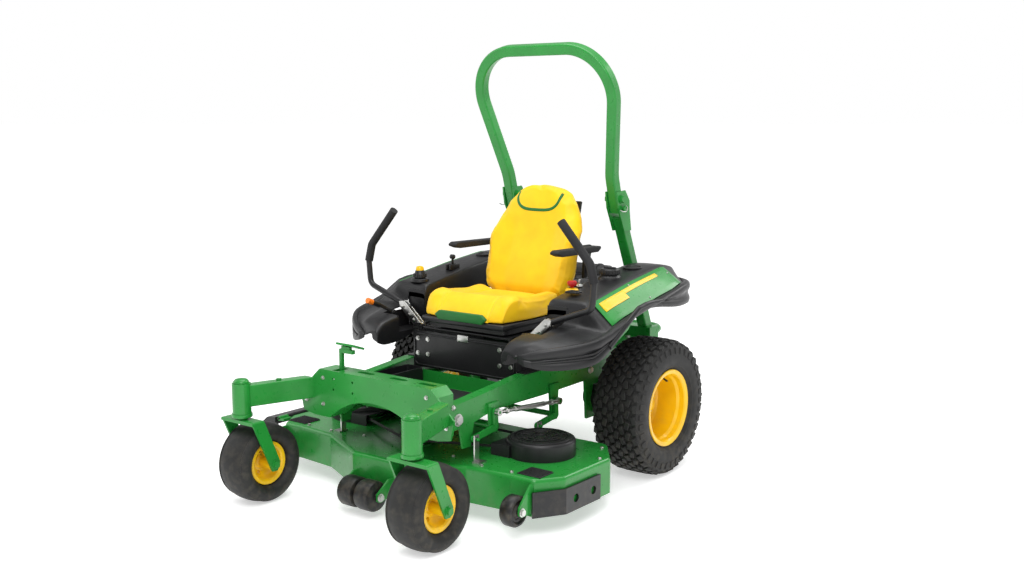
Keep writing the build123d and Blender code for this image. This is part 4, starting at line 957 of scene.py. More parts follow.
    def _caster_tyre(self, name: str, sign: int) -> None:
        """Model a smooth caster tyre.

        Args:
            name: The side, "left" or "right".
            sign: 1 on the operator's left, -1 on the right.
        """
        shop = self.shop
        centre = (sign * self.caster[0], self.caster[1], self.caster[2])
        bead, outer, half = self.caster_rim + 0.0006, self.caster[2] - 0.0005, self.caster_half
        side = [(-0.05, bead), (-0.051, bead + 0.014), (-0.058, bead + 0.018),
                (-0.063, bead + 0.0185),
                (-0.066, bead + 0.022), (-half + 0.004, bead + 0.034), (-half, bead + 0.046),
                (-half + 0.0005, bead + 0.056),
                (-half + 0.006, bead + 0.07), (-half + 0.016, bead + 0.08)]
        tread = [
            (reach, outer - 0.011 * abs(reach / 0.062) ** 2.6)
            for reach in np.linspace(-0.062, 0.062, 15)
        ]
        inner = [(0.036, bead), (0.046, bead + 0.022), (0.066, bead + 0.05), (0.05, bead + 0.074),
                 (-0.05, bead + 0.074), (-0.066, bead + 0.05), (-0.046, bead + 0.022),
                 (-0.036, bead)]
        profile = side + tread + [(-a, r) for a, r in reversed(side)] + inner
        tyre = shop.lathe(f"smooth_tyre_{name}", centre, (1, 0, 0), profile, 96)
        shop.deliver(
            tyre, f"caster_wheel_{name}", "tyre", replaces=(f"caster_tyre_{name}",), angle=50
        )

    def _caster_rim(self, name: str, sign: int) -> None:
        """Model a pressed caster rim with its hub and holes.

        Args:
            name: The side, "left" or "right".
            sign: 1 on the operator's left, -1 on the right.
        """
        shop = self.shop
        centre = (sign * self.caster[0], self.caster[1], self.caster[2])
        r = self.caster_rim
        flank = [(0.052, r + 0.011), (0.0545, r + 0.0135), (0.0565, r + 0.011), (0.0555, r),
                 (0.05, r - 0.007),
                 (0.03, r - 0.012), (0.018, r - 0.022), (0.012, r - 0.036), (0.014, 0.03),
                 (0.02, 0.024),
                 (0.08, 0.022), (0.0835, 0.02), (0.0835, 0.0098)]
        profile = flank + [(-a, q) for a, q in reversed(flank)] + [(-0.05, r), (0.05, r)]
        rim = shop.lathe(f"rim_{name}", centre, (1, 0, 0), profile, 80)
        holes = []
        for step in range(5):
            angle = math.tau * (step + 0.4) / 5
            y, z = centre[1] + 0.046 * math.cos(angle), centre[2] + 0.046 * math.sin(angle)
            holes.append(
                shop.rod(
                    "hole", (centre[0] - 0.03, y, z), (centre[0] + 0.03, y, z), 0.0085, sides=24
                )
            )
        shop.cut(rim, *holes)
        rim.name = f"pressed_rim_{name}"
        shop.deliver(
            rim, f"caster_wheel_{name}", "yellow_paint", replaces=(f"caster_rim_{name}",), angle=30
        )


@dataclass
class Seat:
    """The suspension seat: its vinyl cushions, piping, shell and armrests."""

    shop: Workshop
    front: float = -0.588
    rear: float = -0.142
    half: float = 0.245

    def build(self) -> None:
        """Model and hang the seat."""
        self._cushion()
        self._backrest()
        self._insert()
        self._armrests()
        self._bellows()

    def _grid(self, name: str, low: Vector, high: Vector, cuts: int) -> bpy.types.Object:
        """Make a finely divided block to shape.

        Args:
            name: The piece's name.
            low: The lowest corner, in the scene.
            high: The highest corner, in the scene.
            cuts: How many cuts divide each edge.

        Returns:
            The block.
        """
        bpy.ops.mesh.primitive_cube_add(size=1, location=(low + high) / 2, scale=tuple(high - low))
        piece = bpy.context.active_object
        piece.name = name
        self.shop.settle(piece)
        bpy.ops.object.mode_set(mode="EDIT")
        bpy.ops.mesh.select_all(action="SELECT")
        bpy.ops.mesh.subdivide(number_cuts=cuts)
        bpy.ops.object.mode_set(mode="OBJECT")
        return piece

    def _cushion(self) -> None:
        """Model the seat cushion with its side bolsters and its rolled front."""
        shop = self.shop
        low, high = shop.at(-self.half, self.front, 0.704), shop.at(self.half, self.rear, 0.776)
        piece = self._grid("seat_cushion_vinyl", low, high, 28)
        middle = shop.at(0, (self.front + self.rear) / 2, 0.74)
        length, width = self.rear - self.front, 2 * self.half
        for vertex in piece.data.vertices:
            x = (vertex.co.x - middle.x) / (width / 2)
            y = (vertex.co.y - middle.y) / (length / 2)
            top = (vertex.co.z - low.z) / (high.z - low.z)
            bolster = 0.034 * max(0.0, abs(x) - 0.52) ** 1.3 / 0.38 * (1.0 - 0.35 * max(0.0, -y))
            roll = 0.020 * math.exp(-((y + 0.62) / 0.25) ** 2)
            dip = 0.010 * math.exp(-((y - 0.35) / 0.4) ** 2)
            thigh = roll - dip
            vertex.co.z += top * (bolster + thigh)
            if y < -0.78:
                vertex.co.z -= top * 0.055 * ((-0.78 - y) / 0.22) ** 2
            rim = max(abs(x), abs(y)) ** 9
            vertex.co.z -= top * 0.026 * rim
            pinch = math.sqrt(1 - 0.20 * y * y)
            vertex.co.x = middle.x + x * width / 2 * pinch * (0.965 + 0.035 * top)
            vertex.co.y = middle.y + y * length / 2 * math.sqrt(1 - 0.20 * x * x)
        shop.inflate(piece, 0.012, hold_below=low.z + 0.006)
        shop.deliver(piece, "seat", "yellow_vinyl", replaces=("seat_cushion",), angle=80)
        for sign in (-1, 1):
            seam = [
                (sign * 0.142, self.front + 0.008, 0.74), (sign * 0.14, -0.54, 0.803),
                (sign * 0.138, -0.45, 0.800), (sign * 0.134, -0.34, 0.783),
                (sign * 0.13, -0.24, 0.777), (sign * 0.128, -0.17, 0.782),
            ]
            self._press_seam(piece, seam)

    def _press_seam(self, cushion: bpy.types.Object, route: list[Point]) -> None:
        """Sink a seam into the top and the front of a cushion.

        Args:
            cushion: The cushion.
            route: The seam's points.
        """
        depth, width, steps = 0.0055, 0.0065, 12
        path = [self.shop.at(*place) for place in route]
        samples = []
        for a, b in zip(path, path[1:]):
            samples += [a.lerp(b, step / steps) for step in range(steps)]
        samples.append(path[-1])
        line = np.array([tuple(s) for s in samples])
        count = len(cushion.data.vertices)
        spots = np.empty(count * 3)
        normals = np.empty(count * 3)
        cushion.data.vertices.foreach_get("co", spots)
        cushion.data.vertices.foreach_get("normal", normals)
        spots, normals = spots.reshape(-1, 3), normals.reshape(-1, 3)
        away = np.full(count, 1e9)
        for place in line:
            away = np.minimum(away, np.linalg.norm(spots[:, [0, 1]] - place[[0, 1]], axis=1) +
                              0.25 * np.maximum(0.0, np.abs(spots[:, 2] - place[2]) - 0.03))
        facing = np.clip(normals[:, 2] * 0.7 - normals[:, 1] * 0.7, 0, 1)
        spots -= normals * (depth * np.exp(-(away / width) ** 2) * facing)[:, None]
        cushion.data.vertices.foreach_set("co", spots.ravel())
        cushion.data.update()

    def _backrest(self) -> None:
        """Model the backrest with its wings, its lumbar roll and its narrower head."""
        shop = self.shop
        piece = self._grid("seat_back_vinyl", Vector((-0.5, -0.5, 0)), Vector((0.5, 0.5, 1)), 34)
        for vertex in piece.data.vertices:
            x, depth, share = vertex.co.x * 2, vertex.co.y + 0.5, vertex.co.z
            height = 0.716 + 0.541 * share
            half = float(np.interp(height, (0.71, 0.735, 0.78, 0.85, 1.06, 1.12, 1.20, 1.26),
                                   (0.120, 0.175, 0.222, 0.246, 0.246, 0.226, 0.182, 0.156)))
            round_top = max(0.0, share - 0.86) / 0.14
            front = float(
                np.interp(height, (0.71, 0.80, 1.18, 1.265), (-0.124, -0.124, -0.018, 0.012))
            )
            thick = 0.088 - 0.022 * round_top
            shoulder = float(np.interp(height, (0.71, 0.80, 1.02, 1.14), (0.5, 1.0, 1.0, 0.0)))
            wing = 0.040 * max(0.0, abs(x) - 0.5) ** 1.4 / 0.38 * shoulder
            lumbar = 0.010 * math.exp(-((share - 0.24) / 0.16) ** 2) * (1 - x * x)
            dish = 0.016 * (1 - x * x) * math.exp(-((share - 0.58) / 0.22) ** 2)
            y = front - (wing + lumbar - dish) * (1 - depth) + thick * depth
            through = 2 * depth - 1
            y += thick * 0.5 * through * (math.sqrt(1 - 0.5 * x * x) - 1)
            side = x * half * math.sqrt(1 - 0.16 * through * through)
            drop = 0.034 * round_top * abs(x) ** 3
            vertex.co = shop.at(side, y, height - drop)
        shop.inflate(piece, 0.010)
        shop.deliver(piece, "seat", "yellow_vinyl", replaces=("seat_back",), angle=80)
        self._piping(piece)

    def _piping(self, back: bpy.types.Object) -> None:
        """Lay the wide green piping in a U round the head of the backrest, on its surface.

        Args:
            back: The backrest's cushion.
        """
        shop = self.shop
        route = []
        for step in range(41):
            share = step / 40
            angle = math.pi * (1.0 - share)
            out = 0.122 * math.copysign(abs(math.cos(angle)) ** 0.55, math.cos(angle))
            height = 1.236 - 0.092 * abs(math.sin(angle)) ** 0.7
            route.append((out, height))
        rings = []
        for out, height in route:
            start = shop.at(out, -0.6, height)
            hit, place, normal, _ = back.ray_cast(start, Vector((0, 1, 0)))
            if hit:
                rings.append((place, normal))
        turns, half_width, rise = [], 0.0072, 0.0032
        for index, (place, normal) in enumerate(rings):
            ahead = rings[min(index + 1, len(rings) - 1)][0] - rings[max(index - 1, 0)][0]
            across = ahead.cross(normal).normalized()
            section = []
            for k in range(10):
                turn = math.tau * k / 10
                section.append(
                    place + across * half_width * math.cos(turn) + normal * rise * math.sin(turn)
                )
            turns.append(section)
        piping = shop.loft("backrest_piping", turns, closed=True, capped=True)
        shop.deliver(piping, "seat", "green_vinyl", slot="yellow_vinyl", angle=60)

    def _insert(self) -> None:
        """Model the green pad in the front of the seat's lower shell."""
        shop = self.shop
        pad = shop.prism("front_insert", [
            (-0.118, -0.5935, 0.735), (0.118, -0.5935, 0.735), (0.142, -0.5935, 0.716),
            (0.122, -0.5935, 0.694),
            (-0.122, -0.5935, 0.694), (-0.142, -0.5935, 0.716),
        ], (0, 0.02, 0), 0.004)
        shop.deliver(pad, "seat", "green_vinyl", slot="yellow_vinyl")
        shell = shop.prism("seat_lower_shell", [
            (-0.232, -0.578, 0.700), (-0.205, -0.588, 0.700), (0.205, -0.588, 0.700),
            (0.232, -0.578, 0.700),
            (0.236, -0.16, 0.700), (0.2, -0.11, 0.700), (-0.2, -0.11, 0.700),
            (-0.236, -0.16, 0.700),
        ], (0, 0, -0.026), 0.008)
        shop.deliver(shell, "seat", "black_plastic")

    def _armrests(self) -> None:
        """Model the padded armrests and the brackets that carry them."""
        shop = self.shop
        for name, sign in (("left", 1), ("right", -1)):
            x = sign * 0.290
            pad = shop.prism(f"armrest_pad_{name}", [
                (x - 0.024, -0.296, 0.978), (x - 0.024, -0.26, 0.966), (x - 0.024, 0.02, 0.964),
                (x - 0.024, 0.043, 0.978),
                (x - 0.024, 0.04, 0.99), (x - 0.024, -0.28, 0.996), (x - 0.024, -0.297, 0.988),
            ], (0.048, 0, 0), 0.0105, 4)
            pivot = shop.rod(
                "pivot", (sign * 0.262, 0.022, 0.978), (sign * 0.268, 0.022, 0.978), 0.016, 0.002
            )
            pad = shop.join(f"armrest_pad_{name}", [pivot, pad])
            shop.deliver(pad, f"armrest_{name}", "black_foam", replaces=(f"armrest_{name}",))
            arm = shop.prism(f"armrest_bracket_{name}", [
                (sign * 0.236, 0.002, 0.992), (sign * 0.236, 0.05, 0.992),
                (sign * 0.236, 0.052, 0.95),
                (sign * 0.236, 0.022, 0.84), (sign * 0.236, -0.005, 0.84),
                (sign * 0.236, 0.002, 0.95),
            ], (sign * 0.017, 0, 0), 0.004)
            shop.deliver(arm, "seat", "black_plastic")

    def _bellows(self) -> None:
        """Model the rubber bellows of the suspension between the plate and the pan."""
        shop = self.shop
        rings = []
        for step in range(9):
            grow = 0.0 if step % 2 else 0.010
            z = 0.6545 + step * 0.0046
            corners = []
            for k in range(32):
                turn = math.tau * k / 32
                x = math.copysign(abs(math.cos(turn)) ** 0.35, math.cos(turn)) * (0.206 + grow)
                y = math.copysign(abs(math.sin(turn)) ** 0.35, math.sin(turn)) * (0.226 + grow)
                corners.append(shop.at(x, -0.315 + y, z))
            rings.append(corners)
        bellows = shop.loft("suspension_bellows", rings, closed=True, capped=True)
        shop.deliver(bellows, "seat", "black_foam", slot="black_plastic")


@dataclass
class Pods:
    """The two moulded side pods with their green panels and the trim on them."""

    shop: Workshop
    inner: float = 0.345
    stations: tuple[float, ...] = (
        -0.742, -0.732, -0.705, -0.66, -0.60, -0.54, -0.48, -0.445, -0.431, -0.418, -0.400, -0.33,
        -0.24, -0.15, -0.05, 0.08, 0.20, 0.29, 0.350, 0.378, 0.385,
    )

    def build(self) -> None:
        """Model and hang both pods."""
        for name, sign in (("left", 1), ("right", -1)):
            pod = self.shop.join(f"pod_shell_{name}", self._notch(sign) + [self._body(name, sign)])
            self.shop.deliver(pod, "chassis", "black_plastic", replaces=(f"pod_{name}",), angle=34)
            self._panel(name, sign)
            self._badge(name, sign)
            self._mouldings(name, sign)
        self._controls()

    @staticmethod
    def _between(table: list[tuple[float, float]], place: float) -> float:
        """Read a value between the points of a table."""
        return float(np.interp(place, [a for a, _ in table], [b for _, b in table]))

    def _top(self, y: float) -> float:
        """Return the height of the pod's crown.

        Args:
            y: The station along the machine.

        Returns:
            The height.
        """
        return self._between([
            (-0.742, 0.636), (-0.70, 0.674), (-0.56, 0.697), (-0.434, 0.713), (-0.418, 0.800),
            (-0.40, 0.810), (-0.06, 0.868), (0.2, 0.901), (0.30, 0.896), (0.385, 0.872),
        ], y)

    def _under(self, y: float) -> float:
        """Return the height of the pod's lower edge, which arches over the tyre.

        Args:
            y: The station along the machine.

        Returns:
            The height.
        """
        return self._between([
            (-0.742, 0.584), (-0.70, 0.565), (-0.56, 0.575), (-0.449, 0.632), (-0.34, 0.694),
            (-0.236, 0.758), (-0.12, 0.771), (0.1, 0.736), (0.385, 0.742),
        ], y)

    def _reach(self, y: float) -> float:
        """Return how far out the pod goes.

        Args:
            y: The station along the machine.

        Returns:
            The distance from the machine's middle.
        """
        return self._between([
            (-0.742, 0.462), (-0.72, 0.505), (-0.69, 0.556), (-0.62, 0.628), (-0.552, 0.684),
            (-0.45, 0.689), (0.11, 0.689), (0.2, 0.674), (0.29, 0.642), (0.35, 0.590),
            (0.385, 0.535),
        ], y)

    def _band(self, y: float) -> float:
        """Return the height of the raised band that sweeps along the pod.

        Args:
            y: The station along the machine.

        Returns:
            The height.
        """
        return self._between([
            (-0.742, 0.626), (-0.70, 0.652), (-0.56, 0.677), (-0.43, 0.706), (-0.3, 0.744),
            (0.0, 0.801), (0.2, 0.832), (0.385, 0.826),
        ], y)

    def _section(self, y: float) -> list[tuple[float, float]]:
        """Return the pod's outline across the machine at a station, from inside to outside.

        Args:
            y: The station along the machine.

        Returns:
            The outline's points, each across and up.
        """
        top, under, reach, band = self._top(y), self._under(y), self._reach(y), self._band(y)
        edge = reach - 0.036
        crown = min(
            self._between([(-0.7, 0.47), (-0.43, 0.53), (-0.4, 0.525), (0.2, 0.505)], y),
            edge - 0.04
        )
        low = max(band - 0.036, under + 0.026)
        rib = min(under + 0.024, low - 0.004)
        foot = min(under, 0.74)
        return [
            (self.inner, foot), (self.inner, max(top - 0.03, foot + 0.01)),
            (self.inner + 0.004, top - 0.008),
            (self.inner + 0.016, top), (crown - 0.03, top), (crown, top - 0.002),
            (crown + 0.012, top - 0.008),
            ((crown + edge) / 2, (top + band) / 2 - 0.006), (edge - 0.006, band - 0.010),
            (edge, band - 0.009),
            (edge + 0.005, band + 0.003), (reach - 0.007, band + 0.001), (reach, band - 0.009),
            (reach, low + 0.005), (reach - 0.009, low), (reach - 0.010, rib + 0.006),
            (reach - 0.002, rib),
            (reach, under + 0.010), (reach - 0.003, under),
        ]

    def _body(self, name: str, sign: int) -> bpy.types.Object:
        """Model the pod as one moulded skin with a wall, and cut the levers' notch in it.

        Args:
            name: The side, "left" or "right".
            sign: 1 on the operator's left, -1 on the right.

        Returns:
            The pod's skin.
        """
        shop = self.shop
        rings = [[shop.at(sign * x, y, z) for x, z in self._section(y)] for y in self.stations]
        for end in (0, -1):
            y = self.stations[end]
            outline = self._section(y)
            x_mid = (self.inner + self._reach(y)) / 2
            z_mid = (self._top(y) + self._under(y)) / 2
            caps = [
                [
                    shop.at(sign * (x_mid + (x - x_mid) * s), y, z_mid + (z - z_mid) * s)
                    for x, z in outline
                ]
                for s in (0.9, 0.45)
            ]
            if end == 0:
                rings = caps[::-1] + rings
            else:
                rings = rings + caps
        skin = shop.loft(f"pod_body_{name}", rings)
        shop.smooth(skin, 2)
        shop.thicken(skin, 0.005)
        opening = shop.block("opening", (sign * 0.338, -0.600, 0.614), (sign * 0.446, -0.424, 0.9))
        shop.cut(skin, opening)
        return skin

    def _notch(self, sign: int) -> list[bpy.types.Object]:
        """Model the floor and the walls of the notch that the lever stands in.

        Args:
            sign: 1 on the operator's left, -1 on the right.

        Returns:
            The pieces of the floor and the walls.
        """
        shop = self.shop
        return [
            shop.block(
                "floor", (sign * 0.345, -0.602, 0.606), (sign * 0.450, -0.421, 0.612), 0.001
            ),
            shop.block(
                "wall", (sign * 0.446, -0.602, 0.606), (sign * 0.450, -0.425, 0.690), 0.001
            ),
            shop.block(
                "front", (sign * 0.348, -0.604, 0.606), (sign * 0.450, -0.600, 0.686), 0.001
            ),
            shop.block(
                "back", (sign * 0.348, -0.424, 0.606), (sign * 0.450, -0.420, 0.780), 0.001
            ),
        ]

    def _ribbon(self, name: str, sign: int, low: float, high: float, start: float, stop: float,
                rise: float) -> bpy.types.Object:
        """Model a thin panel that lies on the sloping face of a pod.

        Args:
            name: The piece's name.
            sign: The side: 1 left, -1 right.
            low: Where its lower edge is across the slope, from 0 at the crown to 1 at the edge.
            high: Where its upper edge is.
            start: Its front end.
            stop: Its rear end.
            rise: How far it stands off the face.

        Returns:
            The panel.
        """
        shop = self.shop
        rings = []
        for y in np.linspace(start, stop, 22):
            ring = []
            for share in np.linspace(high, low, 6):
                section = self._section(y)
                inner, outer = Vector(section[6]), Vector(section[8])
                middle = Vector(section[7])
                if share < 0.5:
                    bend = inner.lerp(middle, share * 2)
                else:
                    bend = middle.lerp(outer, share * 2 - 1)
                face = (outer - inner).normalized()
                normal = Vector((-face.y, face.x))
                spot = bend + normal * rise
                ring.append(shop.at(sign * spot.x, y, spot.y))
            rings.append(ring)
        piece = shop.loft(name, rings)
        shop.thicken(piece, 0.004, 0.0)
        shop.bevel(piece, 0.0015, 2)
        return piece

    def _panel(self, name: str, sign: int) -> None:
        """Model the green side panel with its two-step yellow stripe and its rivets.

        Args:
            name: The side, "left" or "right".
            sign: 1 on the operator's left, -1 on the right.
        """
        shop = self.shop
        panel = self._ribbon(f"side_panel_{name}", sign, 0.97, 0.06, -0.378, 0.235, 0.0035)
        shop.deliver(panel, "chassis", "green_paint")
        narrow = self._ribbon("stripe", sign, 0.36, 0.20, -0.2, 0.12, 0.0062)
        wide = self._ribbon("stripe", sign, 0.56, 0.20, -0.352, -0.165, 0.0066)
        stripe = shop.join(f"side_stripe_{name}", [narrow, wide])
        shop.deliver(stripe, "chassis", "yellow_paint")
        rivets = []
        for y, share in ((-0.1, 0.14), (0.2, 0.4), (-0.06, 0.86)):
            section = self._section(y)
            inner, outer = Vector(section[6]), Vector(section[8])
            face = (outer - inner).normalized()
            spot = inner.lerp(outer, share) + Vector((-face.y, face.x)) * 0.006
            rivets.append(
                shop.bolt("rivet", (sign * spot.x, y, spot.y), (sign * -face.y, 0, face.x), 0.004)
            )
        shop.deliver(shop.join(f"panel_rivets_{name}", rivets), "chassis", "zinc")

    def _badge(self, name: str, sign: int) -> None:
        """Model the small green plate low on the side of the pod.

        Args:
            name: The side, "left" or "right".
            sign: 1 on the operator's left, -1 on the right.
        """
        shop = self.shop
        outline = [
            (sign * 0.683, -0.452, 0.640), (sign * 0.683, -0.425, 0.672),
            (sign * 0.683, -0.300, 0.722),
            (sign * 0.683, -0.325, 0.698),
        ]
        plate = shop.prism(f"side_badge_{name}", outline, (sign * 0.0065, 0, 0), 0.001, 2)
        shop.deliver(plate, "chassis", "green_paint")

    def _mouldings(self, name: str, sign: int) -> None:
        """Model the ribs that sweep round the nose and along the front of the wheel arch.

        Args:
            name: The side, "left" or "right".
            sign: 1 on the operator's left, -1 on the right.
        """
        shop = self.shop
        ribs = []
        for share in (0.30, 0.62):
            route = []
            for y in np.linspace(-0.725, -0.46, 12):
                low, rib = self._band(y) - 0.036, self._under(y) + 0.024
                route.append((sign * (self._reach(y) - 0.009), y, low + (rib - low) * share))
            ribs.append(shop.tube("rib", route, 0.0042, 0.05))
        arch = [(sign * 0.683, y, self._under(y) + 0.017) for y in np.linspace(-0.46, -0.10, 12)]
        ribs.append(shop.tube("arch", arch, 0.0115, 0.05))
        shop.deliver(shop.join(f"fender_mouldings_{name}", ribs), "chassis", "black_plastic")

    def _controls(self) -> None:
        """Model the caps, knobs, plates and switches on the pods."""
        shop = self.shop
        cap = shop.lathe("ribbed_fuel_cap", (0.43, -0.067, 0.882), (0, 0, 1), [
            (0.0, 0.031), (0.0, 0.043), (0.004, 0.0445), (0.02, 0.0435), (0.025, 0.039),
            (0.026, 0.02), (0.024, 0.018),
            (0.024, 0.0), (0.02, 0.0), (0.018, 0.031),
        ], 64)
        ridges = []
        for step in range(18):
            turn = math.tau * step / 18
            x, y = 0.43 + 0.0435 * math.cos(turn), -0.067 + 0.0435 * math.sin(turn)
            ridges.append(shop.rod("ridge", (x, y, 0.884), (x, y, 0.903), 0.0032, 0.0008, 12))
        grip = shop.block("grip", (0.40, -0.073, 0.904), (0.46, -0.061, 0.915), 0.003)
        cap = shop.join("ribbed_fuel_cap", ridges + [grip, cap])
        shop.deliver(cap, "fuel_cap", "black_plastic", replaces=("fuel_cap",))
        ring = shop.lathe("fuel_neck", (0.43, -0.067, 0.858), (0, 0, 1), [
            (0.0, 0.03), (0.0, 0.052), (0.012, 0.05), (0.016, 0.045), (0.022, 0.04), (0.022, 0.03),
        ], 56)
        shop.deliver(ring, "chassis", "black_plastic")

        knob = shop.lathe("blade_switch_knob", (0.378, -0.285, 0.848), (0, 0, 1), [
            (-0.006, 0.0), (-0.006, 0.008), (0.002, 0.010), (0.004, 0.019), (0.014, 0.022),
            (0.021, 0.0205), (0.0245, 0.015),
            (0.025, 0.0),
        ], 48)
        shop.deliver(knob, "pto_switch", "red_plastic", replaces=("pto_switch",))
        collar = shop.lathe("switch_collar", (0.378, -0.285, 0.826), (0, 0, 1), [
            (0.0, 0.012), (0.0, 0.030), (0.008, 0.028), (0.012, 0.024), (0.0145, 0.018),
            (0.0145, 0.012),
        ], 48)
        shop.deliver(collar, "chassis", "yellow_paint", slot="black_plastic")

        dial = shop.lathe("dial_knob", (-0.42, -0.376, 0.828), (0, 0, 1), [
            (0.0, 0.0), (0.0, 0.027), (0.003, 0.029), (0.018, 0.028), (0.024, 0.024),
            (0.034, 0.021), (0.036, 0.019),
            (0.036, 0.0),
        ], 64)
        grips = []
        for step in range(14):
            turn = math.tau * step / 14
            x, y = -0.42 + 0.0285 * math.cos(turn), -0.376 + 0.0285 * math.sin(turn)
            grips.append(shop.rod("ridge", (x, y, 0.831), (x, y, 0.848), 0.003, 0.0008, 12))
        shop.deliver(shop.join("height_dial_knob", grips + [dial]), "height_dial", "black_plastic",
                     replaces=("height_dial",))
        top = shop.lathe("dial_top", (-0.42, -0.376, 0.8625), (0, 0, 1), [
            (0.0, 0.0), (0.0, 0.0195), (0.012, 0.0185), (0.018, 0.0155), (0.0205, 0.008),
            (0.021, 0.0),
        ], 48)
        shop.deliver(top, "height_dial", "yellow_paint", slot="black_plastic")
        scale_ring = shop.lathe("dial_scale", (-0.42, -0.376, 0.812), (0, 0, 1), [
            (0.0, 0.02), (0.0, 0.044), (0.011, 0.042), (0.0145, 0.036), (0.0145, 0.02),
        ], 56)
        shop.deliver(scale_ring, "chassis", "black_plastic")

        for name, sign in (("left", 1), ("right", -1)):
            cup_place = (sign * 0.43, 0.12, self._top(0.12))
            cup = shop.lathe(f"cup_holder_{name}", cup_place, (0, 0, 1), [
                (0.003, 0.046), (0.006, 0.040), (0.002, 0.037), (-0.05, 0.034), (-0.05, 0.0),
                (-0.054, 0.0),
                (-0.054, 0.038), (-0.002, 0.041), (-0.001, 0.046),
            ], 56)
            shop.deliver(cup, "chassis", "black_plastic")
        plate = shop.block("gauge_plate", (0.392, -0.36, 0.829), (0.452, -0.315, 0.838), 0.004)
        shop.deliver(plate, "chassis", "black_plastic")
        glass = shop.block(
            "gauge_window", (0.400, -0.354, 0.8375), (0.444, -0.321, 0.8395), 0.0008
        )
        shop.deliver(glass, "chassis", "dark_gap", slot="black_plastic")
        key = shop.lathe("ignition_barrel", (0.378, -0.225, 0.846), (0, 0, 1), [
            (-0.004, 0.0), (-0.004, 0.015), (0.003, 0.014), (0.005, 0.011), (0.006, 0.0),
        ], 36)
        bow = shop.block("bow", (0.376, -0.233, 0.851), (0.380, -0.217, 0.872), 0.0015)
        shop.deliver(shop.join("ignition_key", [bow, key]), "chassis", "zinc")


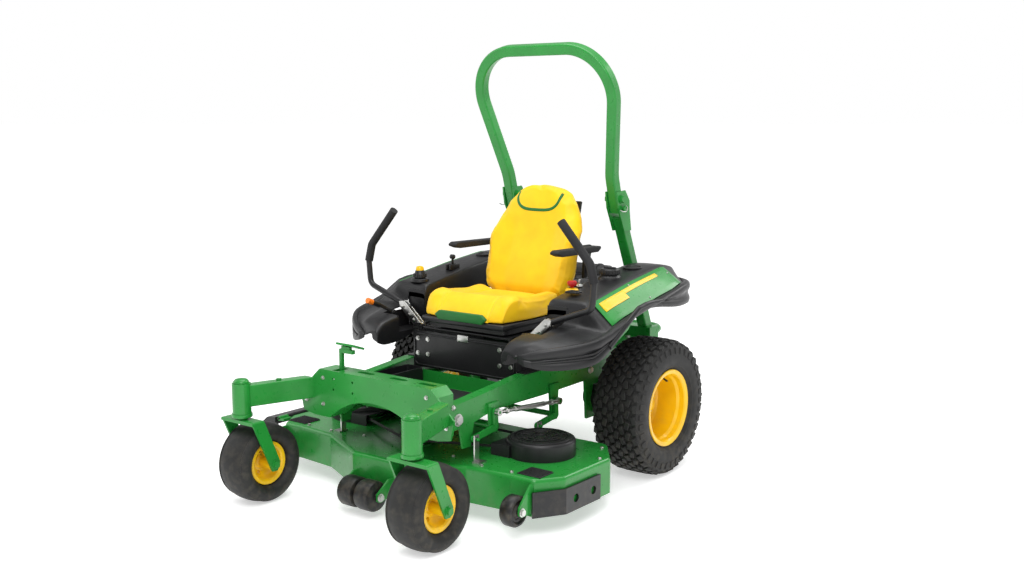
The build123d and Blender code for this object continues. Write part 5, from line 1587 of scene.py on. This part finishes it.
@dataclass
class Levers:
    """The drive levers, the brake and the throttle."""

    shop: Workshop
    y: float = -0.495
    tube_radius: float = 0.0135
    grip_radius: float = 0.0188

    def build(self) -> None:
        """Model and hang every lever."""
        for name, sign in (("left", 1), ("right", -1)):
            self._drive_lever(name, sign)
        self._brake()
        self._throttle()

    def _drive_lever(self, name: str, sign: int) -> None:
        """Model one drive lever with its plates, bolts, tube and grip.

        Args:
            name: The side, "left" or "right".
            sign: 1 on the operator's left, -1 on the right.
        """
        shop, y = self.shop, self.y
        tube = shop.tube(f"lever_tube_{name}", [
            (sign * 0.372, y, 0.706), (sign * 0.477, y, 0.745), (sign * 0.622, y, 0.796),
            (sign * 0.632, y, 0.905),
            (sign * 0.630, y, 0.92),
        ], self.tube_radius, 0.045)
        shop.deliver(tube, f"lever_{name}", "black_paint", replaces=(f"lever_{name}",), angle=60)
        grip = shop.tube(f"lever_grip_{name}", [
            (sign * 0.6315, y, 0.905), (sign * 0.611, y, 0.983), (sign * 0.466, y, 1.148),
        ], self.grip_radius, 0.05)
        shop.bevel(grip, 0.006, 3, 60)
        shop.deliver(grip, f"lever_{name}", "black_foam", slot="black_paint", angle=60)
        plates = []
        for low in (-0.0165, 0.0035):
            plates.append(shop.prism("plate", [
                (sign * 0.300, y + low, 0.619), (sign * 0.322, y + low, 0.616),
                (sign * 0.424, y + low, 0.708),
                (sign * 0.429, y + low, 0.734), (sign * 0.398, y + low, 0.738),
                (sign * 0.296, y + low, 0.646),
            ], (0, 0.006, 0), 0.0012, 2))
        boss = shop.rod(
            "boss", (sign * 0.312, y - 0.017, 0.632), (sign * 0.312, y + 0.017, 0.632), 0.0165,
            0.001
        )
        for along in (0.28, 0.52, 0.92):
            x, z = 0.312 + along * 0.098, 0.632 + along * 0.088
            plates.append(shop.bolt("bolt", (sign * x, y - 0.0165, z), (0, -1, 0), 0.0072))
            plates.append(shop.bolt("bolt", (sign * x, y + 0.0095, z), (0, 1, 0), 0.0072))
        fork = shop.join(f"lever_plates_{name}", plates + [boss])
        shop.deliver(fork, f"lever_{name}", "zinc", slot="black_paint")

    def _brake(self) -> None:
        """Model the parking brake with its coloured tip."""
        shop = self.shop
        x, y, z = -0.432, -0.545, 0.684
        arm = shop.prism("brake_arm", [
            (x - 0.005, y + 0.004, z - 0.008), (x - 0.005, y + 0.004, z + 0.010),
            (x - 0.005, y - 0.105, z + 0.064),
            (x - 0.005, y - 0.111, z + 0.050),
        ], (0.008, 0, 0), 0.002, 2)
        hub = shop.rod("hub", (x - 0.009, y, z), (x + 0.005, y, z), 0.015, 0.002)
        pin = shop.rod("pin", (x - 0.018, y, z), (x + 0.006, y, z), 0.0058, 0.001, 24)
        grip = shop.tube(
            "grip", [(x - 0.001, y - 0.092, z + 0.048), (x - 0.001, y - 0.15, z + 0.0712)], 0.0126
        )
        shop.deliver(shop.join("parking_brake", [hub, pin, grip, arm]), "brake_lever",
                     "black_paint",
                     replaces=("brake_lever",))
        tip = shop.tube(
            "tip", [(x - 0.001, y - 0.138, z + 0.0663), (x - 0.001, y - 0.166, z + 0.0776)], 0.0130
        )
        shop.bevel(tip, 0.004, 3, 50)
        tip.name = "brake_tip"
        shop.deliver(tip, "brake_lever", "orange_plastic", slot="black_paint")

    def _throttle(self) -> None:
        """Model the throttle with its slotted plate."""
        shop = self.shop
        x, y = -0.4, -0.165
        arm = shop.prism("arm", [
            (x - 0.0024, y - 0.009, 0.852), (x - 0.0024, y + 0.009, 0.852),
            (x - 0.0024, y + 0.006, 0.902),
            (x - 0.0024, y - 0.006, 0.902),
        ], (0.0048, 0, 0), 0.001, 2)
        knob = shop.rod("knob", (x - 0.012, y, 0.908), (x + 0.012, y, 0.908), 0.011, 0.004, 32)
        shop.deliver(shop.join("throttle_arm", [knob, arm]), "throttle_lever", "black_plastic",
                     replaces=("throttle_lever",))
        for low in (x - 0.017, x + 0.006):
            side = shop.block(
                "throttle_gate", (low, y - 0.034, 0.846), (low + 0.011, y + 0.034, 0.873), 0.003
            )
            side.name = f"throttle_gate_{'right' if low < x else 'left'}"
            shop.deliver(side, "chassis", "black_plastic")


@dataclass
class DeckTrim:
    """The small pieces on the deck: covers, rollers, step pad, bolts and springs."""

    shop: Workshop

    def build(self) -> None:
        """Model and hang the deck's pieces."""
        self._rollers()
        self._step_pad()
        self._bolts()
        self._cover_ribs()
        self._idler()

    def _rollers(self) -> None:
        """Model the anti-scalp rollers and their hubs."""
        shop = self.shop
        wheels = []
        for x in (-0.046, 0.046):
            profile = [(-0.040, 0.012), (-0.040, 0.05), (-0.036, 0.058), (-0.028, 0.0618)]
            profile += [
                (0.0, 0.062), (0.028, 0.0618), (0.036, 0.058), (0.040, 0.05), (0.040, 0.012)
            ]
            wheels.append(shop.lathe("roller", (x, -1.2, 0.088), (1, 0, 0), profile, 72))
        sleeve = shop.rod("sleeve", (-0.09, -1.2, 0.088), (0.09, -1.2, 0.088), 0.0185, 0.001)
        shop.deliver(shop.join("anti_scalp_rollers", [sleeve] + wheels), "front_rollers",
                     "roller_rubber",
                     replaces=("front_rollers",))
        for name, sign in (("left", 1), ("right", -1)):
            profile = [(-0.028, 0.0085), (-0.028, 0.022), (-0.020, 0.03), (-0.020, 0.04),
                       (-0.028, 0.047),
                       (-0.026, 0.055), (-0.018, 0.0605), (0.018, 0.0605), (0.026, 0.055),
                       (0.028, 0.047),
                       (0.020, 0.04), (0.020, 0.03), (0.028, 0.022), (0.028, 0.0085)]
            wheel = shop.lathe(
                f"gauge_roller_{name}", (sign * 0.652, -1.056, 0.113), (1, 0, 0), profile, 72
            )
            shop.deliver(
                wheel, f"gauge_wheel_{name}", "roller_rubber", replaces=(f"gauge_wheel_{name}",)
            )

    def _step_pad(self) -> None:
        """Model the ribbed foot pads on the front corners of the deck."""
        shop = self.shop
        for name, sign in (("left", 1), ("right", -1)):
            pad = [
                shop.block(
                    "pad", (sign * 0.590, -0.955, 0.2195), (sign * 0.700, -0.865, 0.2235), 0.0015
                )
            ]
            for step in range(8):
                y = -0.948 + step * 0.0110
                pad.append(
                    shop.block(
                        "rib", (sign * 0.595, y, 0.223), (sign * 0.695, y + 0.005, 0.2265), 0.0012
                    )
                )
            piece = shop.join(f"step_pad_{name}", pad)
            shop.deliver(piece, "deck", "black_foam", slot="roller_rubber")

    def _bolts(self) -> None:
        """Model the rows of bolts on the top of the deck."""
        shop = self.shop
        bolts = []
        for step in range(6):
            turn = math.tau * (step + 0.5) / 6
            place = (0.056 * math.cos(turn), -0.86 + 0.056 * math.sin(turn), 0.2195)
            bolts.append(shop.bolt("bolt", place, (0, 0, 1), 0.007))
        for sign in (-1, 1):
            for x, y in (
                (0.25, -0.93), (0.32, -0.50), (0.66, -0.47), (0.565, -0.955), (0.735, -0.60),
                (0.42, -0.96)
            ):
                bolts.append(shop.bolt("bolt", (sign * x, y, 0.220), (0, 0, 1), 0.0075))
        shop.deliver(shop.join("deck_bolts", bolts), "deck", "zinc")

    def _cover_ribs(self) -> None:
        """Model the rings and spokes moulded on the belt covers."""
        shop = self.shop
        for name, sign in (("left", 1), ("right", -1)):
            x, y, top = sign * 0.505, -0.68, 0.2904
            parts = []
            for ring in (0.03, 0.055, 0.078, 0.1, 0.118):
                parts.append(shop.lathe("ring", (x, y, top), (0, 0, 1), [
                    (-0.001, ring - 0.0045), (-0.001, ring + 0.0045), (0.004, ring + 0.003),
                    (0.0048, ring),
                    (0.004, ring - 0.003),
                ], 64))
            for step in range(8):
                turn = math.tau * step / 8 + 0.2
                a = (x + 0.03 * math.cos(turn), y + 0.03 * math.sin(turn), top + 0.0012)
                b = (x + 0.12 * math.cos(turn), y + 0.12 * math.sin(turn), top + 0.0012)
                parts.append(shop.rod("spoke", a, b, 0.0034, sides=12))
            shop.deliver(shop.join(f"cover_ribs_{name}", parts), "deck", "black_plastic")

    def _idler(self) -> None:
        """Model the spring of the belt's idler on top of the deck."""
        shop = self.shop
        coil = []
        for step in range(0, 16 * 14 + 1):
            turn = math.tau * step / 16
            coil.append(
                (
                    0.16 + 0.011 * math.cos(turn), -0.62 + 0.0048 * step / 8 * 0.9,
                    0.238 + 0.011 * math.sin(turn)
                )
            )
        spring = shop.tube("idler_spring", coil[:120], 0.0018, 0.0004)
        shop.deliver(spring, "deck", "zinc")


@dataclass
class ChassisTrim:
    """Small pieces on the frame: bolts, hoses, caps, clips, a mat and the engine's parts."""

    shop: Workshop

    def build(self) -> None:
        """Model and hang the frame's small pieces."""
        self._front_beam()
        self._seat_front()
        self._engine()
        self._lift_ends()
        self._floor()
        self._hoop_marks()

    def _front_beam(self) -> None:
        """Model the bolts of the front beam, and the caps and collars of the caster housings."""
        shop = self.shop
        bolts = []
        for sign in (-1, 1):
            for x, z in ((0.285, 0.505), (0.285, 0.395), (0.385, 0.40), (0.385, 0.45)):
                bolts.append(shop.bolt("bolt", (sign * x, -1.128, z), (0, -1, 0), 0.0075))
            for y in (-1.095, -1.035):
                bolts.append(
                    shop.bolt("bolt", (sign * 0.3405, y + 0.0, 0.455), (sign, 0, 0), 0.009)
                )
        shop.deliver(shop.join("beam_bolts", bolts), "chassis", "zinc")
        for name, sign in (("left", 1), ("right", -1)):
            x, y = sign * 0.465, -1.407
            cap = shop.lathe(f"caster_cap_{name}", (x, y, 0.505), (0, 0, 1), [
                (0.0, 0.0), (0.0, 0.031), (0.006, 0.0325), (0.013, 0.031), (0.02, 0.024),
                (0.023, 0.012), (0.0235, 0.0),
            ], 56)
            shop.deliver(cap, "chassis", "green_paint")
            collar = shop.lathe(f"housing_collar_{name}", (x, y, 0.44), (0, 0, 1), [
                (-0.07, 0.038), (-0.07, 0.0415), (-0.062, 0.0425), (-0.056, 0.0415),
                (-0.056, 0.038),
            ], 56)
            shop.deliver(collar, "chassis", "green_paint")

    def _seat_front(self) -> None:
        """Model the raised border and the latch of the panel under the seat."""
        shop = self.shop
        rail = [
            shop.tube("border", [
                (-0.262, -0.570, 0.612), (0.262, -0.570, 0.612), (0.278, -0.570, 0.596),
                (0.278, -0.570, 0.484),
                (0.262, -0.570, 0.472), (-0.262, -0.570, 0.472), (-0.278, -0.570, 0.484),
                (-0.278, -0.570, 0.596),
                (-0.262, -0.570, 0.612),
            ], 0.0035, 0.006)
        ]
        shop.deliver(rail[0], "chassis", "black_paint")
        latch = shop.block("seat_latch", (-0.03, -0.5735, 0.60), (0.03, -0.562, 0.632), 0.004)
        shop.deliver(latch, "chassis", "zinc", slot="black_paint")

    def _engine(self) -> None:
        """Model the air cleaner, the oil filter and the hoses of the drive."""
        shop = self.shop
        cleaner = shop.lathe("air_cleaner", (-0.09, 0.42, 0.79), (1, 0, 0), [
            (-0.02, 0.0), (-0.02, 0.052), (-0.014, 0.058), (0.14, 0.058), (0.142, 0.062),
            (0.15, 0.062), (0.152, 0.056),
            (0.2, 0.056), (0.206, 0.05), (0.206, 0.0),
        ], 64)
        shop.deliver(cleaner, "chassis", "black_plastic")
        filter_can = shop.lathe("oil_filter", (0.17, 0.37, 0.56), (0, 1, 0), [
            (0.0, 0.0), (0.0, 0.036), (0.006, 0.038), (0.07, 0.038), (0.078, 0.034), (0.08, 0.0),
        ], 48)
        shop.deliver(filter_can, "chassis", "black_paint", slot="dark_steel")
        hoses = []
        for sign in (-1, 1):
            hoses.append(shop.tube("hose", [
                (sign * 0.234, 0.03, 0.45), (sign * 0.28, 0.03, 0.45), (sign * 0.315, 0.01, 0.40),
                (sign * 0.36, 0.0, 0.372),
            ], 0.011, 0.03))
            hoses.append(shop.tube("hose", [
                (sign * 0.234, 0.09, 0.45), (sign * 0.29, 0.09, 0.44), (sign * 0.32, 0.06, 0.385),
                (sign * 0.362, 0.03, 0.362),
            ], 0.011, 0.03))
        shop.deliver(
            shop.join("drive_hoses", hoses), "chassis", "black_foam", slot="black_plastic"
        )

    def _lift_ends(self) -> None:
        """Model the nuts at the ends of the deck lift's pins."""
        shop = self.shop
        for name, sign in (("left", 1), ("right", -1)):
            lock = [
                shop.rod(
                    "nut", (sign * 0.376, -0.745, 0.3908), (sign * 0.376, -0.733, 0.3898), 0.0135,
                    0.001, 6
                ),
                shop.rod(
                    "nut", (sign * 0.376, -0.435, 0.3642), (sign * 0.376, -0.423, 0.3632), 0.0135,
                    0.001, 6
                ),
            ]
            shop.deliver(shop.join(f"rod_lock_nuts_{name}", lock), "lift_rods", "zinc")

    def _floor(self) -> None:
        """Model the ribbed rubber mat on the footwell's floor."""
        shop = self.shop
        parts = [shop.block("mat", (-0.178, -1.0, 0.4012), (0.280, -0.63, 0.4042), 0.0012)]
        for step in range(22):
            y = -0.992 + step * 0.0165
            parts.append(shop.block("rib", (-0.170, y, 0.4036), (0.272, y + 0.007, 0.4062), 0.001))
        shop.deliver(shop.join("floor_mat", parts), "chassis", "black_foam", slot="roller_rubber")

    def _hoop_marks(self) -> None:
        """Model the spring clips on the roll bar's lock pins."""
        shop = self.shop
        clips = []
        for sign in (-1, 1):
            x, y, z = sign * 0.352, 0.187, 1.152
            clips.append(shop.tube("clip", [
                (x, y, z + 0.014), (x, y + 0.016, z), (x, y, z - 0.014), (x, y - 0.03, z - 0.012),
                (x, y - 0.05, z - 0.004),
            ], 0.0018, 0.01))
        shop.deliver(shop.join("lock_pin_clips", clips), "chassis", "zinc")


@dataclass
class Studio:
    """The floor, the lights and the camera."""

    shop: Workshop
    camera_place: Point = (3.211, -4.392, 1.579)
    camera_azimuth: float = 37.57
    camera_dip: float = 8.43
    lens: float = 41.06

    def build(self) -> None:
        """Set up the studio."""
        shop = self.shop
        bpy.ops.mesh.primitive_plane_add(size=400, location=(0, 0, 0))
        floor = bpy.context.active_object
        floor.name = "studio_floor"
        pale = bpy.data.materials.new("pale_floor")
        pale.use_nodes = True
        shader = pale.node_tree.nodes["Principled BSDF"]
        shader.inputs["Base Color"].default_value = (0.8, 0.8, 0.8, 1)
        shader.inputs["Roughness"].default_value = 0.8
        shader.inputs["Emission Color"].default_value = (1, 1, 1, 1)
        shader.inputs["Emission Strength"].default_value = 0.5
        floor.data.materials.append(pale)
        floor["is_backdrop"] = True
        scene = bpy.context.scene
        world = scene.world or bpy.data.worlds.new("studio")
        scene.world = world
        world.use_nodes = True
        self._sky(world.node_tree)
        self._light("key", (2.4, -3.4, 3.8), 2.4, 120)
        self._light("fill", (-3.8, -2.2, 2.6), 2.6, 42)
        self._light("rim", (1.5, 3.6, 3.4), 2.2, 60)
        self._light("overhead", (0.0, -0.2, 4.4), 3.0, 90)
        camera = bpy.data.objects.new("camera", bpy.data.cameras.new("camera"))
        scene.collection.objects.link(camera)
        camera.location = shop.at(*self.camera_place)
        camera.rotation_euler = (
            math.radians(90 - self.camera_dip), 0.0, math.radians(self.camera_azimuth),
        )
        camera.data.lens = self.lens
        camera.data.sensor_width = 36.0
        camera.data.clip_end = 200.0
        scene.camera = camera
        scene.view_settings.view_transform = "Standard"
        scene.view_settings.look = "None"

    @staticmethod
    def _sky(tree: bpy.types.NodeTree) -> None:
        """Make the surroundings: white round the horizon and overhead, dimmer in between.

        Args:
            tree: The world's node tree.
        """
        sky = tree.nodes["Background"]
        place = tree.nodes.new("ShaderNodeTexCoord").outputs["Generated"]
        parts = tree.nodes.new("ShaderNodeSeparateXYZ")
        tree.links.new(place, parts.inputs["Vector"])
        tones = tree.nodes.new("ShaderNodeValToRGB")
        steps = ((0.0, 1.0), (0.14, 1.0), (0.26, 0.42), (0.62, 0.38), (0.85, 0.9), (1.0, 1.0))
        ramp = tones.color_ramp
        while len(ramp.elements) < len(steps):
            ramp.elements.new(0.5)
        for element, (position, level) in zip(ramp.elements, steps):
            element.position = position
            element.color = (level, level, level, 1)
        tree.links.new(parts.outputs["Z"], tones.inputs["Fac"])
        tree.links.new(tones.outputs["Color"], sky.inputs["Color"])
        sky.inputs["Strength"].default_value = 1.0

    def _light(self, name: str, place: Point, size: float, power: float) -> None:
        """Hang one soft area light that faces the machine.

        Args:
            name: The light's name.
            place: Where it hangs.
            size: Its width in metres.
            power: Its power in watts.
        """
        lamp = bpy.data.objects.new(name, bpy.data.lights.new(name, "AREA"))
        lamp.data.size = size
        lamp.data.energy = power
        lamp.location = self.shop.at(*place)
        target = self.shop.at(0, -0.4, 0.6)
        lamp.rotation_euler = (target - lamp.location).to_track_quat("-Z", "Y").to_euler()
        bpy.context.scene.collection.objects.link(lamp)


def main() -> None:
    """Build the mower's looks round its frame."""
    logging.basicConfig(level=logging.INFO, format="%(name)s: %(message)s")
    shop = Workshop()
    Studio(shop).build()
    for part in (
        RunningGear(shop), Seat(shop), Pods(shop), Levers(shop), DeckTrim(shop), ChassisTrim(shop)
    ):
        part.build()


if __name__ == "__main__":
    main()
